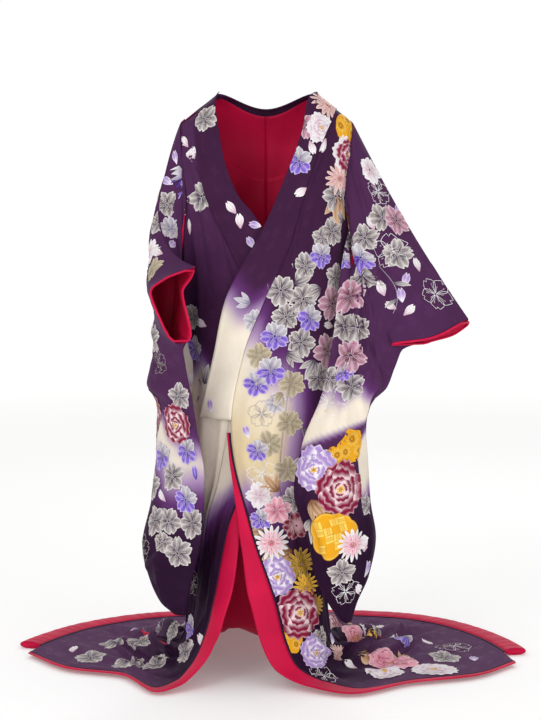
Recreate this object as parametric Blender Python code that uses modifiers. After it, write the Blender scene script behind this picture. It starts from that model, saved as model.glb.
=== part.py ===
"""An uchikake, the trailing outer robe of a Japanese wedding dress, worn open over a hollow figure.

Metres, +Z up, +X towards the wearer's left, -Y to the front. The origin is on the line of the
shoulders, where the wearer carries the robe, and the floor is FLOOR below it.

The robe is cut as two long body widths that meet at the centre back, two front overlaps (okumi),
one long collar, two long sleeves, and a crimson lining that is rolled past every edge. Each body
half is one surface, robe_point(side, across, along), and its pieces are cut from that surface.
"""

import math

import bmesh
import bpy
from mathutils import Vector

ROBE = "uchikake"

# Sizes that drive the rest
FLOOR = -1.38
WALL = 0.0024
SEAM_GAP = 0.0009
LAYER_GAP = 0.0034
CUFF_LAYER_GAP = 0.0048
NECK_HALF_WIDTH = 0.113
COLLAR_SEAM_AT_SHOULDER = 0.160
SHOULDER_SLOPE = 0.80
SHOULDER_FADE = 0.25
OVERLAP_LIFT = 0.006
COLLAR_ACROSS = -0.15
OKUMI_ACROSS = 0.20
SIDE_ACROSS = 0.50
OKUMI_START = 0.33
OKUMI_TOP = 0.346
OKUMI_POINT = 0.02
COLLAR_END = 0.795
HEM = 1.86
NAPE_DROP = 0.085
COLLAR_NAPE_Z = -0.034
ARMHOLE_END = 0.34
ARMHOLE_OPENING = math.radians(16)
ARMHOLE_PER_FALL = 1.5
ARMHOLE_GAP = 0.0045
PIPING_RADIUS = 0.0026
CUFF_ROLL_RADIUS = 0.0024
FRONT_BAND_WALL = 0.003
HEM_BAND_WIDTH = 0.058
HEM_BAND_HEIGHT = 0.016
SLEEVE_SEAM = 0.0034
SLEEVE_FOLD_GAP = 0.0028
NAPE_SEAM = 0.0036
LEFT = 1
RIGHT = -1


# The levels along the cloth at which every panel has a row of points, so that seams match.
LEVELS = (
    [0.0, 0.03, 0.08, 0.16, 0.24, OKUMI_START, OKUMI_TOP, 0.40]
    + [0.48, 0.56, 0.64, 0.72, COLLAR_END]
    + [0.86, 0.94, 1.02, 1.10, 1.18, 1.26, 1.32, 1.37, 1.42, 1.48, 1.56, 1.65, 1.75, HEM]
)
OKUMI_COLUMNS = 3
FRONT_COLUMNS = 6
BACK_COLUMNS = 8
NAPE_COLUMN = 3
SLEEVE_COLUMNS = 8
LINING_FIRST, LINING_LAST = 3, 20
LINING_SHARE = 0.93
SLEEVE_FALLS = (
    [0.0, 0.015, 0.04, 0.08, 0.14, 0.20, 0.25]
    + [0.32, 0.39, 0.47, 0.55, 0.63, 0.71, 0.79, 0.87, 0.94, 1.0]
)


def table(names, *rows):
    """A table as a dictionary from each column's name to its values, the first one the station."""
    return dict(zip(names.split(), (list(column) for column in zip(*rows))))


# Level sections of the body: where along the cloth, how far down, and the oval of the section.
# spread goes from 0, standing round the legs, to 1, out at the edge of the train.
SECTIONS = table(
    "along drop centre half_width front back spread",
    (0.00, 0.000, 0.000, 0.205, 0.000, 0.000, 0.00),
    (0.03, 0.010, 0.000, 0.205, 0.050, 0.042, 0.00),
    (0.08, 0.046, 0.000, 0.204, 0.088, 0.080, 0.00),
    (0.16, 0.120, 0.000, 0.200, 0.118, 0.112, 0.00),
    (0.30, 0.258, 0.000, 0.194, 0.136, 0.132, 0.00),
    (0.52, 0.478, 0.000, 0.180, 0.147, 0.138, 0.00),
    (0.80, 0.760, -0.002, 0.168, 0.146, 0.143, 0.00),
    (1.05, 1.010, -0.008, 0.163, 0.140, 0.150, 0.00),
    (1.22, 1.180, -0.016, 0.160, 0.138, 0.162, 0.00),
    (1.32, 1.275, -0.018, 0.164, 0.138, 0.175, 0.02),
    (1.38, 1.328, -0.020, 0.168, 0.140, 0.185, 0.09),
    (1.44, 1.358, -0.020, 0.172, 0.140, 0.190, 0.20),
    (1.52, 1.368, -0.020, 0.175, 0.140, 0.190, 0.37),
    (1.62, 1.370, -0.020, 0.175, 0.140, 0.190, 0.57),
    (1.74, 1.370, -0.020, 0.175, 0.140, 0.190, 0.79),
    (1.86, 1.370, -0.020, 0.175, 0.140, 0.190, 1.00),
)

# The inner border of each front: the collar's seam down to its end, then the free front edge.
EDGE = {
    LEFT: table(
        "along x y z",
        (0.00, 0.160, 0.000, -0.037),
        (0.08, 0.146, -0.060, -0.062),
        (0.16, 0.122, -0.094, -0.120),
        (0.26, 0.090, -0.122, -0.218),
        (0.40, 0.050, -0.141, -0.358),
        (0.52, -0.005, -0.147, -0.478),
        (0.65, -0.053, -0.148, -0.610),
        (0.80, -0.077, -0.147, -0.770),
        (1.05, -0.030, -0.144, -1.010),
        (1.22, 0.024, -0.142, -1.180),
        (1.32, 0.048, -0.142, -1.278),
        (1.38, 0.080, -0.150, -1.336),
        (1.44, 0.138, -0.172, -1.362),
        (1.52, 0.222, -0.206, -1.370),
        (1.62, 0.345, -0.126, -1.370),
        (1.74, 0.490, -0.070, -1.370),
        (1.86, 0.604, 0.055, -1.370),
    ),
    RIGHT: table(
        "along x y z",
        (0.00, 0.160, 0.000, -0.037),
        (0.08, 0.168, -0.046, -0.062),
        (0.16, 0.166, -0.066, -0.120),
        (0.26, 0.150, -0.090, -0.218),
        (0.40, 0.088, -0.128, -0.358),
        (0.52, 0.030, -0.145, -0.478),
        (0.65, -0.020, -0.147, -0.610),
        (0.80, -0.028, -0.146, -0.760),
        (0.93, 0.046, -0.136, -0.892),
        (1.05, 0.095, -0.125, -1.010),
        (1.22, 0.129, -0.118, -1.180),
        (1.32, 0.153, -0.118, -1.278),
        (1.38, 0.178, -0.138, -1.334),
        (1.44, 0.209, -0.163, -1.362),
        (1.52, 0.256, -0.196, -1.370),
        (1.62, 0.342, -0.062, -1.370),
        (1.74, 0.470, -0.004, -1.370),
        (1.86, 0.585, 0.150, -1.370),
    ),
}

# How far across the chest the collar's free edge and the okumi's seam run.
COLLAR_EDGE = {
    LEFT: table(
        "along x",
        (0.00, 0.113),
        (0.05, 0.093),
        (0.12, 0.081),
        (0.23, 0.045),
        (0.37, -0.014),
        (0.43, -0.048),
        (0.53, -0.092),
        (0.65, -0.115),
        (0.80, -0.147),
    ),
    RIGHT: table(
        "along x",
        (0.00, 0.111),
        (0.05, 0.118),
        (0.15, 0.107),
        (0.22, 0.091),
        (0.28, 0.065),
        (0.33, 0.024),
        (0.43, -0.030),
        (0.60, -0.092),
        (0.80, -0.115),
    ),
}
OKUMI_SEAM = {
    LEFT: table(
        "along x",
        (0.00, 0.176),
        (0.16, 0.140),
        (0.37, 0.072),
        (0.52, 0.062),
        (0.70, 0.053),
        (0.94, 0.034),
        (1.05, 0.066),
        (1.22, 0.112),
        (1.38, 0.132),
        (1.86, 0.150),
    ),
    RIGHT: table(
        "along x",
        (0.00, 0.176),
        (0.16, 0.176),
        (0.37, 0.116),
        (0.52, 0.086),
        (0.70, 0.080),
        (0.94, 0.112),
        (1.05, 0.138),
        (1.22, 0.152),
        (1.38, 0.164),
        (1.86, 0.172),
    ),
}

# The outline of the train on the floor, from the front corner of each half to the centre back.
TRAIN = {
    LEFT: table(
        "across x y",
        (0.00, 0.604, 0.055),
        (0.10, 0.588, 0.150),
        (0.20, 0.562, 0.248),
        (0.35, 0.500, 0.380),
        (0.50, 0.425, 0.474),
        (0.65, 0.330, 0.530),
        (0.80, 0.190, 0.556),
        (1.00, 0.000, 0.566),
    ),
    RIGHT: table(
        "across x y",
        (0.00, 0.585, 0.150),
        (0.10, 0.565, 0.215),
        (0.20, 0.530, 0.290),
        (0.35, 0.465, 0.392),
        (0.50, 0.385, 0.470),
        (0.65, 0.290, 0.525),
        (0.80, 0.165, 0.556),
        (1.00, 0.000, 0.566),
    ),
}

# The largest folds: soft ridges that run down or out along the cloth, raised off its surface.
FOLDS = {
    LEFT: table(
        "fold across width height first last",
        (0, 0.30, 0.050, 0.014, 0.55, 1.30),
        (1, 0.36, 0.060, 0.050, 1.34, 1.66),
        (2, 0.58, 0.070, 0.058, 1.32, 1.62),
        (3, 0.76, 0.070, 0.050, 1.32, 1.72),
        (4, 0.92, 0.060, 0.040, 1.34, 1.76),
        (5, 0.66, 0.060, 0.016, 0.35, 1.30),
        (6, 0.88, 0.060, 0.014, 0.45, 1.32),
    ),
    RIGHT: table(
        "fold across width height first last",
        (0, 0.34, 0.050, 0.010, 0.40, 1.25),
        (1, 0.36, 0.060, 0.042, 1.36, 1.66),
        (2, 0.56, 0.070, 0.060, 1.32, 1.64),
        (3, 0.74, 0.070, 0.055, 1.32, 1.70),
        (4, 0.90, 0.060, 0.040, 1.34, 1.76),
        (5, 0.64, 0.060, 0.014, 0.40, 1.30),
        (6, 0.82, 0.060, 0.018, 0.35, 1.32),
    ),
}

# How far the crimson lining is rolled out past the front edge.
FRONT_BAND = table(
    "along left right",
    (0.86, 0.004, 0.004),
    (0.94, 0.012, 0.006),
    (1.02, 0.024, 0.022),
    (1.10, 0.035, 0.044),
    (1.22, 0.058, 0.058),
    (1.34, 0.058, 0.060),
    (1.44, 0.056, 0.056),
    (1.52, 0.048, 0.044),
    (1.62, 0.022, 0.018),
    (1.86, 0.014, 0.014),
)
BAND_TILT = {LEFT: 0.0, RIGHT: 0.22}

# The sleeves: level after level from the fold over the arm down to the bottom seam. Each level
# runs from the body (a), over the arm or elbow (b), to the cuff side (c); hollow is the room inside.
SLEEVE = {
    LEFT: table(
        "fall ax ay az bx by bz cx cy cz hollow",
        (0.00, 0.212, 0.000, -0.078, 0.325, -0.035, -0.296, 0.468, -0.110, -0.523, 0.000),
        (0.04, 0.213, -0.002, -0.110, 0.320, -0.045, -0.330, 0.448, -0.108, -0.540, 0.080),
        (0.10, 0.213, -0.004, -0.165, 0.308, -0.058, -0.385, 0.405, -0.118, -0.562, 0.100),
        (0.20, 0.214, -0.010, -0.265, 0.284, -0.080, -0.470, 0.322, -0.138, -0.580, 0.090),
        (0.28, 0.184, -0.074, -0.360, 0.256, -0.112, -0.545, 0.296, -0.145, -0.632, 0.060),
        (0.36, 0.168, -0.108, -0.460, 0.238, -0.136, -0.612, 0.279, -0.145, -0.678, 0.045),
        (0.44, 0.156, -0.140, -0.565, 0.210, -0.168, -0.680, 0.235, -0.160, -0.722, 0.040),
        (0.52, 0.132, -0.182, -0.685, 0.180, -0.200, -0.752, 0.230, -0.145, -0.778, 0.036),
        (0.60, 0.086, -0.206, -0.800, 0.150, -0.222, -0.835, 0.235, -0.130, -0.842, 0.034),
        (0.70, 0.066, -0.212, -0.910, 0.150, -0.230, -0.930, 0.242, -0.125, -0.945, 0.034),
        (0.80, 0.094, -0.205, -1.006, 0.172, -0.222, -1.020, 0.255, -0.125, -1.032, 0.030),
        (0.90, 0.118, -0.192, -1.118, 0.178, -0.204, -1.124, 0.238, -0.140, -1.120, 0.022),
        (0.96, 0.146, -0.180, -1.178, 0.182, -0.186, -1.184, 0.210, -0.152, -1.182, 0.014),
        (1.00, 0.172, -0.170, -1.218, 0.186, -0.172, -1.224, 0.198, -0.162, -1.220, 0.000),
    ),
    RIGHT: table(
        "fall ax ay az bx by bz cx cy cz hollow",
        (0.00, 0.212, 0.000, -0.078, 0.250, -0.036, -0.300, 0.160, -0.215, -0.398, 0.000),
        (0.05, 0.213, 0.004, -0.115, 0.240, -0.040, -0.340, 0.200, -0.208, -0.425, 0.056),
        (0.12, 0.213, 0.008, -0.180, 0.237, -0.046, -0.390, 0.226, -0.200, -0.458, 0.070),
        (0.20, 0.200, 0.006, -0.270, 0.235, -0.052, -0.450, 0.204, -0.206, -0.532, 0.062),
        (0.25, 0.196, -0.004, -0.335, 0.237, -0.056, -0.505, 0.193, -0.208, -0.568, 0.046),
        (0.32, 0.193, -0.012, -0.430, 0.243, -0.060, -0.585, 0.184, -0.206, -0.625, 0.038),
        (0.39, 0.191, -0.016, -0.530, 0.254, -0.062, -0.658, 0.171, -0.204, -0.692, 0.036),
        (0.47, 0.188, -0.018, -0.630, 0.234, -0.064, -0.738, 0.157, -0.204, -0.778, 0.034),
        (0.57, 0.186, -0.018, -0.745, 0.240, -0.064, -0.845, 0.142, -0.200, -0.880, 0.032),
        (0.67, 0.186, -0.018, -0.865, 0.253, -0.064, -0.962, 0.146, -0.195, -0.988, 0.030),
        (0.77, 0.190, -0.020, -0.970, 0.276, -0.064, -1.062, 0.162, -0.186, -1.080, 0.028),
        (0.87, 0.194, -0.024, -1.060, 0.264, -0.068, -1.134, 0.177, -0.176, -1.146, 0.022),
        (0.95, 0.200, -0.018, -1.118, 0.244, -0.076, -1.184, 0.184, -0.162, -1.188, 0.016),
        (1.00, 0.196, -0.040, -1.150, 0.224, -0.088, -1.206, 0.186, -0.144, -1.212, 0.003),
    ),
}
CUFF_END = {LEFT: 0.20, RIGHT: 0.25}

COLOURS = {
    "plum_satin": ((0.055, 0.018, 0.085, 1.0), 0.45),
    "crimson_lining": ((0.52, 0.012, 0.05, 1.0), 0.5),
    "black_piping": ((0.02, 0.008, 0.03, 1.0), 0.5),
}


def smooth_value(rows, column, at):
    """The column's value at a station, on a curve through its rows that never overshoots them."""
    stations = next(iter(rows.values()))
    values = rows[column]
    last = len(stations) - 1
    if at <= stations[0]:
        return values[0]
    if at >= stations[last]:
        return values[last]
    i = max(k for k in range(last) if stations[k] <= at)
    slopes = [
        (values[k + 1] - values[k]) / (stations[k + 1] - stations[k]) for k in range(last)
    ]

    def tangent(k):
        if k in (0, last):
            return slopes[min(k, last - 1)]
        before, after = slopes[k - 1], slopes[k]
        return 0.0 if before * after <= 0 else 2 * before * after / (before + after)

    step = stations[i + 1] - stations[i]
    t = (at - stations[i]) / step
    bend = values[i] * (1 + 2 * t) * (1 - t) ** 2 + values[i + 1] * t * t * (3 - 2 * t)
    return bend + step * t * (1 - t) * (tangent(i) * (1 - t) - tangent(i + 1) * t)


def ease(t):
    """From 0 to 1 along a soft step."""
    t = min(max(t, 0.0), 1.0)
    return t * t * (3 - 2 * t)


def between(a, b, t):
    return a + (b - a) * t


def stations(first, last, count):
    """count values from first to last, evenly spaced."""
    return [between(first, last, i / (count - 1)) for i in range(count)]


def angle_at(x, along):
    """The angle round a section, from the front, of a point that lies x to the side."""
    half_width = smooth_value(SECTIONS, "half_width", along)
    return math.asin(min(max(x / half_width, -0.999), 0.999))


def section_angle(side, across, along):
    """The angle round the section for a place across the cloth, from the collar to the centre back."""
    edge = angle_at(smooth_value(EDGE[side], "x", min(along, 1.32)), along)
    okumi = angle_at(smooth_value(OKUMI_SEAM[side], "x", along), along)
    okumi = max(okumi, edge + 0.02)
    if across < 0:
        collar = angle_at(smooth_value(COLLAR_EDGE[side], "x", along), along)
        return between(edge, collar, across / COLLAR_ACROSS)
    if across < OKUMI_ACROSS:
        return between(edge, okumi, across / OKUMI_ACROSS)
    if across < SIDE_ACROSS:
        return between(okumi, math.pi / 2, (across - OKUMI_ACROSS) / (SIDE_ACROSS - OKUMI_ACROSS))
    return between(math.pi / 2, math.pi, (across - SIDE_ACROSS) / (1 - SIDE_ACROSS))


def oval_point(side, angle, along):
    """A point of the standing robe, with the shoulder's slope at the top."""
    half_width = smooth_value(SECTIONS, "half_width", along)
    depth = smooth_value(SECTIONS, "front" if angle < math.pi / 2 else "back", along)
    away = half_width * math.sin(angle)
    x = smooth_value(SECTIONS, "centre", along) + side * away
    slope = SHOULDER_SLOPE * max(abs(away) - NECK_HALF_WIDTH, 0)
    z = -smooth_value(SECTIONS, "drop", along) - slope * (1 - ease(along / SHOULDER_FADE))
    return Vector((x, -depth * math.cos(angle), z))


def fold_height(side, across, along):
    """How far the large folds raise the cloth there."""
    folds = FOLDS[side]
    height = 0.0
    for i in folds["fold"]:
        reach = (across - folds["across"][i]) / folds["width"][i]
        first, last = folds["first"][i], folds["last"][i]
        share = (along - first) / (last - first)
        if 0 < share < 1:
            height += folds["height"][i] * math.exp(-reach * reach) * math.sin(math.pi * share)
    return height


def robe_point(side, across, along):
    """A point on the cloth of one half: across 0 at its inner border and 1 at the centre back."""
    angle = section_angle(side, across, along)
    point = oval_point(side, angle, along)
    spread = smooth_value(SECTIONS, "spread", along)
    if spread > 0:
        share = max(across, 0)
        hem_x = side * smooth_value(TRAIN[side], "x", share)
        hem_y = smooth_value(TRAIN[side], "y", share)
        point.x = between(point.x, hem_x, spread)
        point.y = between(point.y, hem_y, spread)
    if across < OKUMI_ACROSS * 2 and along > COLLAR_END:
        own = robe_border(side, along)
        formula = oval_point(side, section_angle(side, 0, along), along)
        if spread > 0:
            formula.x = between(formula.x, side * TRAIN[side]["x"][0], spread)
            formula.y = between(formula.y, TRAIN[side]["y"][0], spread)
        fade = 1 - ease(max(across, 0) / (OKUMI_ACROSS * 2))
        point += (own - formula) * fade * ease((along - COLLAR_END) / 0.2)
    height = fold_height(side, across, along)
    standing = 1 - ease((spread - 0.02) / 0.1)
    outward = Vector((side * math.sin(angle), -math.cos(angle), 0))
    lift = OVERLAP_LIFT * side * ease((math.radians(85) - angle) / math.radians(25))
    point += outward * (height + lift * (1 - ease(spread / 0.2))) * standing
    point.z += height * (1 - standing)
    return point


def robe_border(side, along):
    """The free front edge of one half."""
    edge = EDGE[side]
    return Vector(
        (
            side * smooth_value(edge, "x", along),
            smooth_value(edge, "y", along),
            smooth_value(edge, "z", along),
        )
    )


def material(name):
    """A plain cloth material."""
    colour, roughness = COLOURS[name]
    made = bpy.data.materials.get(name) or bpy.data.materials.new(name)
    made.use_nodes = True
    shader = made.node_tree.nodes["Principled BSDF"]
    shader.inputs["Base Color"].default_value = colour
    shader.inputs["Roughness"].default_value = roughness
    shader.inputs["Metallic"].default_value = 0.0
    return made


def add_object(name, data, finish):
    """Puts a mesh or curve in the robe's collection."""
    made = bpy.data.objects.new(name, data)
    bpy.data.collections[ROBE].objects.link(made)
    data.materials.append(material(finish))
    return made


def cloth(name, rows, finish, wall=WALL):
    """A sheet of cloth: an open surface lofted through rows of points, thickened both ways."""
    sheet = bmesh.new()
    verts = [[sheet.verts.new(point) for point in row] for row in rows]
    for upper, lower in zip(verts, verts[1:]):
        for i in range(len(upper) - 1):
            sheet.faces.new((upper[i], upper[i + 1], lower[i + 1], lower[i]))
    for face in sheet.faces:
        face.smooth = True
    mesh = bpy.data.meshes.new(name)
    sheet.to_mesh(mesh)
    sheet.free()
    made = add_object(name, mesh, finish)
    thicken = made.modifiers.new("wall", "SOLIDIFY")
    thicken.thickness = wall
    thicken.offset = 0.0
    return made


def roll(name, points, radius, finish, closed=False):
    """A thin round roll of cloth along a path."""
    curve = bpy.data.curves.new(name, "CURVE")
    curve.dimensions = "3D"
    curve.bevel_depth = radius
    curve.bevel_resolution = 1
    curve.use_fill_caps = not closed
    spline = curve.splines.new("POLY")
    spline.points.add(len(points) - 1)
    for place, point in zip(spline.points, points):
        place.co = (*point, 1.0)
    spline.use_cyclic_u = closed
    return add_object(name, curve, finish)


def side_name(piece, side):
    return f"{piece}_{'left' if side == LEFT else 'right'}"


def gap_across(side, across, along):
    """How much of the across scale one seam gap takes there."""
    step = 0.01
    width = (robe_point(side, across + step, along) - robe_point(side, across - step, along)).length
    return SEAM_GAP * 2 * step / max(width, 1e-6)


def okumi_border(along):
    """How far across the okumi reaches: a point at its start, its full share further down."""
    share = between(OKUMI_POINT, OKUMI_ACROSS, ease((along - OKUMI_TOP) / 0.14))
    return share if along > OKUMI_START else 0.0


def armhole_shift(across, along):
    """Opens the side of the body where the sleeve goes in, between the shoulder and the underarm."""
    opening = ARMHOLE_OPENING * (1 - ease((along - ARMHOLE_END + 0.06) / 0.12))
    near = ease(1 - abs(across - SIDE_ACROSS) / 0.12)
    return opening * near / math.pi


def front_row(side, along):
    """The front's row of points at one level, from the collar or okumi to the side seam."""
    first = okumi_border(along)
    first += gap_across(side, max(first, 0.02), along) / 2
    last = SIDE_ACROSS - gap_across(side, SIDE_ACROSS, along) / 2
    row = []
    for across in stations(first, last, FRONT_COLUMNS):
        row.append(robe_point(side, across - armhole_shift(across, along), along))
    return row


def shoulder_gap(rows, forward):
    """Parts the front from the back by one seam gap on the line of the shoulders."""
    step = Vector((0, -SEAM_GAP if forward else SEAM_GAP, 0))
    rows[0] = [point + step for point in rows[0]]
    return rows


def front_panel(side):
    """The front body width, from the shoulder to the edge of the train."""
    rows = [front_row(side, along) for along in LEVELS]
    cloth(side_name("front", side), shoulder_gap(rows, True), "plum_satin")


def okumi(side):
    """The overlap sewn to the front edge of each front, from the chest down to the corner."""
    rows = []
    for along in LEVELS[LEVELS.index(OKUMI_TOP) :]:
        first = gap_across(side, 0.02, along) / 2
        last = okumi_border(along) - gap_across(side, okumi_border(along), along) / 2
        places = stations(first, max(last, first + 0.004), OKUMI_COLUMNS)
        rows.append([robe_point(side, across, along) for across in places])
    cloth(side_name("okumi", side), rows, "plum_satin")


def back_row(side, level):
    """The back's row of points at one level, which follows the nape near the top."""
    first = SIDE_ACROSS + gap_across(side, SIDE_ACROSS, level) / 2
    last = 1.0 - gap_across(side, 0.98, level) / 2
    row = []
    for across in stations(first, last, BACK_COLUMNS):
        top = nape_along(across)
        along = top + level * (HEM - top) / HEM
        row.append(robe_point(side, across + armhole_shift(across, along), along))
    return row


def back_panel(side):
    """Half of the back, from the shoulder and nape to the edge of the train."""
    rows = [back_row(side, level) for level in LEVELS]
    cloth(side_name("back", side), shoulder_gap(rows, False), "plum_satin")


def collar_front(side):
    """One end of the collar, opened wide, from the shoulder to its end below the waist."""
    rows = []
    for along in LEVELS[: LEVELS.index(COLLAR_END) + 1]:
        last = -gap_across(side, -0.02, along) / 2
        places = stations(COLLAR_ACROSS, last, 4)
        rows.append([robe_point(side, across, along) for across in places])
    cloth(side_name("collar", side), shoulder_gap(rows, True), "plum_satin")


def nape_start():
    """Where across the back the nape begins, behind the collar's seam at the shoulder."""
    turn = math.pi / 2 - math.asin(COLLAR_SEAM_AT_SHOULDER / SECTIONS["half_width"][0])
    return SIDE_ACROSS + (1 - SIDE_ACROSS) * turn / (math.pi / 2)


def nape_along(across):
    """Where the back's upper border lies: the shoulder line, then the scooped nape."""
    return NAPE_DROP * ease((across - nape_start()) / (1 - nape_start()))


def collar_back():
    """The middle of the collar, standing behind the neck from shoulder to shoulder."""
    right = back_row(RIGHT, 0.0)[NAPE_COLUMN:]
    left = back_row(LEFT, 0.0)[NAPE_COLUMN:]
    path = right[:-1] + [(right[-1] + left[-1]) / 2] + left[-2::-1]
    pull = NECK_HALF_WIDTH / COLLAR_SEAM_AT_SHOULDER
    back = Vector((0, NAPE_SEAM, 0))
    rows = []
    for i, seam in enumerate(path):
        share = ease(1 - abs(i / (len(path) - 1) - 0.5) * 2)
        free = Vector((seam.x * pull, seam.y * 0.75, COLLAR_NAPE_Z * share))
        start = seam + (free - seam).normalized() * NAPE_SEAM
        rows.append([between(start, free, t) + back for t in (0.0, 0.5, 1.0)])
    cloth("collar_back", rows, "plum_satin")


def sheet_normal(rows, i, k):
    """The direction across a sheet at one of its points, from its neighbours."""
    down = rows[min(i + 1, len(rows) - 1)][k] - rows[max(i - 1, 0)][k]
    over = rows[i][min(k + 1, len(rows[i]) - 1)] - rows[i][max(k - 1, 0)]
    return down.cross(over).normalized()


def layer_on(rows, distance):
    """A copy of a sheet's rows, moved off it by a distance along its own directions."""
    return [
        [rows[i][k] + sheet_normal(rows, i, k) * distance for k in range(len(rows[i]))]
        for i in range(len(rows))
    ]


def lining_back(side):
    """The crimson lining inside the back, where the open front and neck show it."""
    rows = []
    for level in LEVELS[LINING_FIRST : LINING_LAST + 1]:
        row = back_row(side, level)[1:]
        rows.append(row[:-1] + [between(row[-2], row[-1], LINING_SHARE)])
    cloth(side_name("lining", side), layer_on(rows, -LAYER_GAP * side), "crimson_lining")


def edge_direction(side, along):
    """The way out past the front edge, in the plane of the cloth."""
    out = robe_point(side, 0.0, along) - robe_point(side, 0.03, along)
    return out.normalized()


def front_trim(side):
    """The dark piping and the crimson band rolled out beyond the front edge."""
    piping = []
    band = []
    for along in LEVELS[LEVELS.index(COLLAR_END) + 1 :]:
        border = robe_point(side, 0.0, along)
        out = edge_direction(side, along)
        width = smooth_value(FRONT_BAND, "left" if side == LEFT else "right", along)
        first = PIPING_RADIUS * 2 + SEAM_GAP * 4
        tilt = Vector((0, BAND_TILT[side] * width, 0))
        piping.append(border + out * (SEAM_GAP * 1.6 + PIPING_RADIUS))
        places = [border + out * (first + width * t) + tilt * t for t in (0.0, 0.5, 1.0)]
        for place in places:
            place.z = max(place.z, FLOOR + FRONT_BAND_WALL)
        band.append(places)
    roll(side_name("front_piping", side), piping, PIPING_RADIUS, "black_piping")
    cloth(side_name("front_band", side), band, "crimson_lining", FRONT_BAND_WALL)


def hem_direction(side, across):
    """The way out past the hem, level with the floor."""
    place = robe_point(side, across, HEM)
    inner = robe_point(side, across, HEM - 0.06)
    out = place - inner
    out.z = 0
    ahead = robe_point(side, min(across + 0.02, 1.0), HEM)
    behind = robe_point(side, max(across - 0.02, 0.0), HEM)
    track = (ahead - behind).normalized()
    return (out - track * out.dot(track)).normalized()


def hem_trim(side):
    """The piping along the hem and the padded crimson roll that lies on the floor beyond it."""
    places = stations(0.0, OKUMI_ACROSS, OKUMI_COLUMNS)[1:]
    places += stations(OKUMI_ACROSS, SIDE_ACROSS, FRONT_COLUMNS)[1:]
    places += stations(SIDE_ACROSS, 1.0, BACK_COLUMNS)[1:-1] + [0.996]
    piping = []
    sections = []
    for across in places:
        border = robe_point(side, across, HEM)
        out = hem_direction(side, across)
        piping.append(border + out * (SEAM_GAP + PIPING_RADIUS))
        taper = 0.35 + 0.65 * ease(across / 0.12)
        middle = border + out * (PIPING_RADIUS * 2 + SEAM_GAP * 2 + HEM_BAND_WIDTH * taper / 2)
        middle.z = FLOOR + HEM_BAND_HEIGHT / 2 + 0.0005
        ring = []
        for k in range(8):
            turn = math.tau * (k + 0.5) / 8
            wide = out * math.cos(turn) * HEM_BAND_WIDTH * taper / 2
            tall = Vector((0, 0, math.sin(turn) * HEM_BAND_HEIGHT / 2))
            ring.append(middle + wide + tall)
        sections.append(ring)
    roll(side_name("hem_piping", side), piping, PIPING_RADIUS, "black_piping")
    padded_roll(side_name("hem_band", side), sections)


def padded_roll(name, sections):
    """A closed roll lofted through rings of points."""
    sheet = bmesh.new()
    rings = [[sheet.verts.new(point) for point in ring] for ring in sections]
    count = len(rings[0])
    for near, far in zip(rings, rings[1:]):
        for k in range(count):
            n = (k + 1) % count
            sheet.faces.new((near[k], near[n], far[n], far[k]))
    sheet.faces.new(rings[0])
    sheet.faces.new(reversed(rings[-1]))
    bmesh.ops.recalc_face_normals(sheet, faces=sheet.faces)
    for face in sheet.faces:
        face.smooth = True
    mesh = bpy.data.meshes.new(name)
    sheet.to_mesh(mesh)
    sheet.free()
    return add_object(name, mesh, "crimson_lining")


def sleeve_middle(side, over, fall):
    """The middle surface of a sleeve: over 0 at the body, 0.5 on the arm, 1 at the cuff."""
    rows = SLEEVE[side]
    a, b, c = (
        Vector((side * smooth_value(rows, p + "x", fall), smooth_value(rows, p + "y", fall), 0))
        for p in "abc"
    )
    for point, p in zip((a, b, c), "abc"):
        point.z = smooth_value(rows, p + "z", fall)
    return (
        a * (2 * (over - 0.5) * (over - 1))
        + b * (4 * over * (1 - over))
        + c * (2 * over * (over - 0.5))
    )


def sleeve_outward(side, over, fall):
    """The level direction out of the wall that is sewn to the front of the armhole."""
    step = 0.02
    after = sleeve_middle(side, min(over + step, 1.0), fall)
    before = sleeve_middle(side, max(over - step, 0.0), fall)
    track = after - before
    return Vector((track.y, -track.x, 0)).normalized() * side


def sleeve_room(side, over, fall):
    """The distance between the two walls: open at the body and the cuff, closed at the seams."""
    rows = SLEEVE[side]
    hollow = smooth_value(rows, "hollow", fall)
    below_cuff = ease((fall - CUFF_END[side] + 0.02) / 0.05)
    closing = 1 - below_cuff * ease((over - 0.72) / 0.28)
    closing *= 1 - 0.85 * ease((fall - 0.19) / 0.08) * (1 - ease(over / 0.35))
    fold = SLEEVE_FOLD_GAP if fall == 0 else SLEEVE_SEAM
    return fold + max(hollow * closing, 0.0)


def armhole_seam(side, wall, fall):
    """The point on the body's side that a sleeve's wall is sewn to."""
    along = fall * ARMHOLE_PER_FALL
    shift = armhole_shift(SIDE_ACROSS, along)
    on_body = robe_point(side, SIDE_ACROSS - wall * shift, along)
    return on_body + Vector((side * ARMHOLE_GAP, -wall * ARMHOLE_GAP * 0.3, 0))


def sleeve_point(side, wall, over, fall):
    """A point on one wall: wall 1 is sewn to the front of the armhole, wall -1 to its back."""
    room = sleeve_room(side, over, fall)
    point = sleeve_middle(side, over, fall) + sleeve_outward(side, over, fall) * wall * room / 2
    sewn = (1 - ease(over / 0.42)) * (1 - ease((fall - 0.19) / 0.08))
    return between(point, armhole_seam(side, wall, fall), sewn) if sewn > 0 else point


def sleeve(side):
    """The two walls of a sleeve, its cuff lining and the crimson roll round the cuff."""
    places = stations(0.0, 1.0, SLEEVE_COLUMNS)
    walls = {}
    for piece, wall in (("sleeve_front", 1), ("sleeve_back", -1)):
        rows = [
            [sleeve_point(side, wall, over, fall) for over in places] for fall in SLEEVE_FALLS
        ]
        walls[wall] = rows
        cloth(side_name(piece, side), rows, "plum_satin")
    end = SLEEVE_FALLS.index(CUFF_END[side])
    cuff_lining(side, walls, end)
    cuff_roll(side, walls, end)


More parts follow.
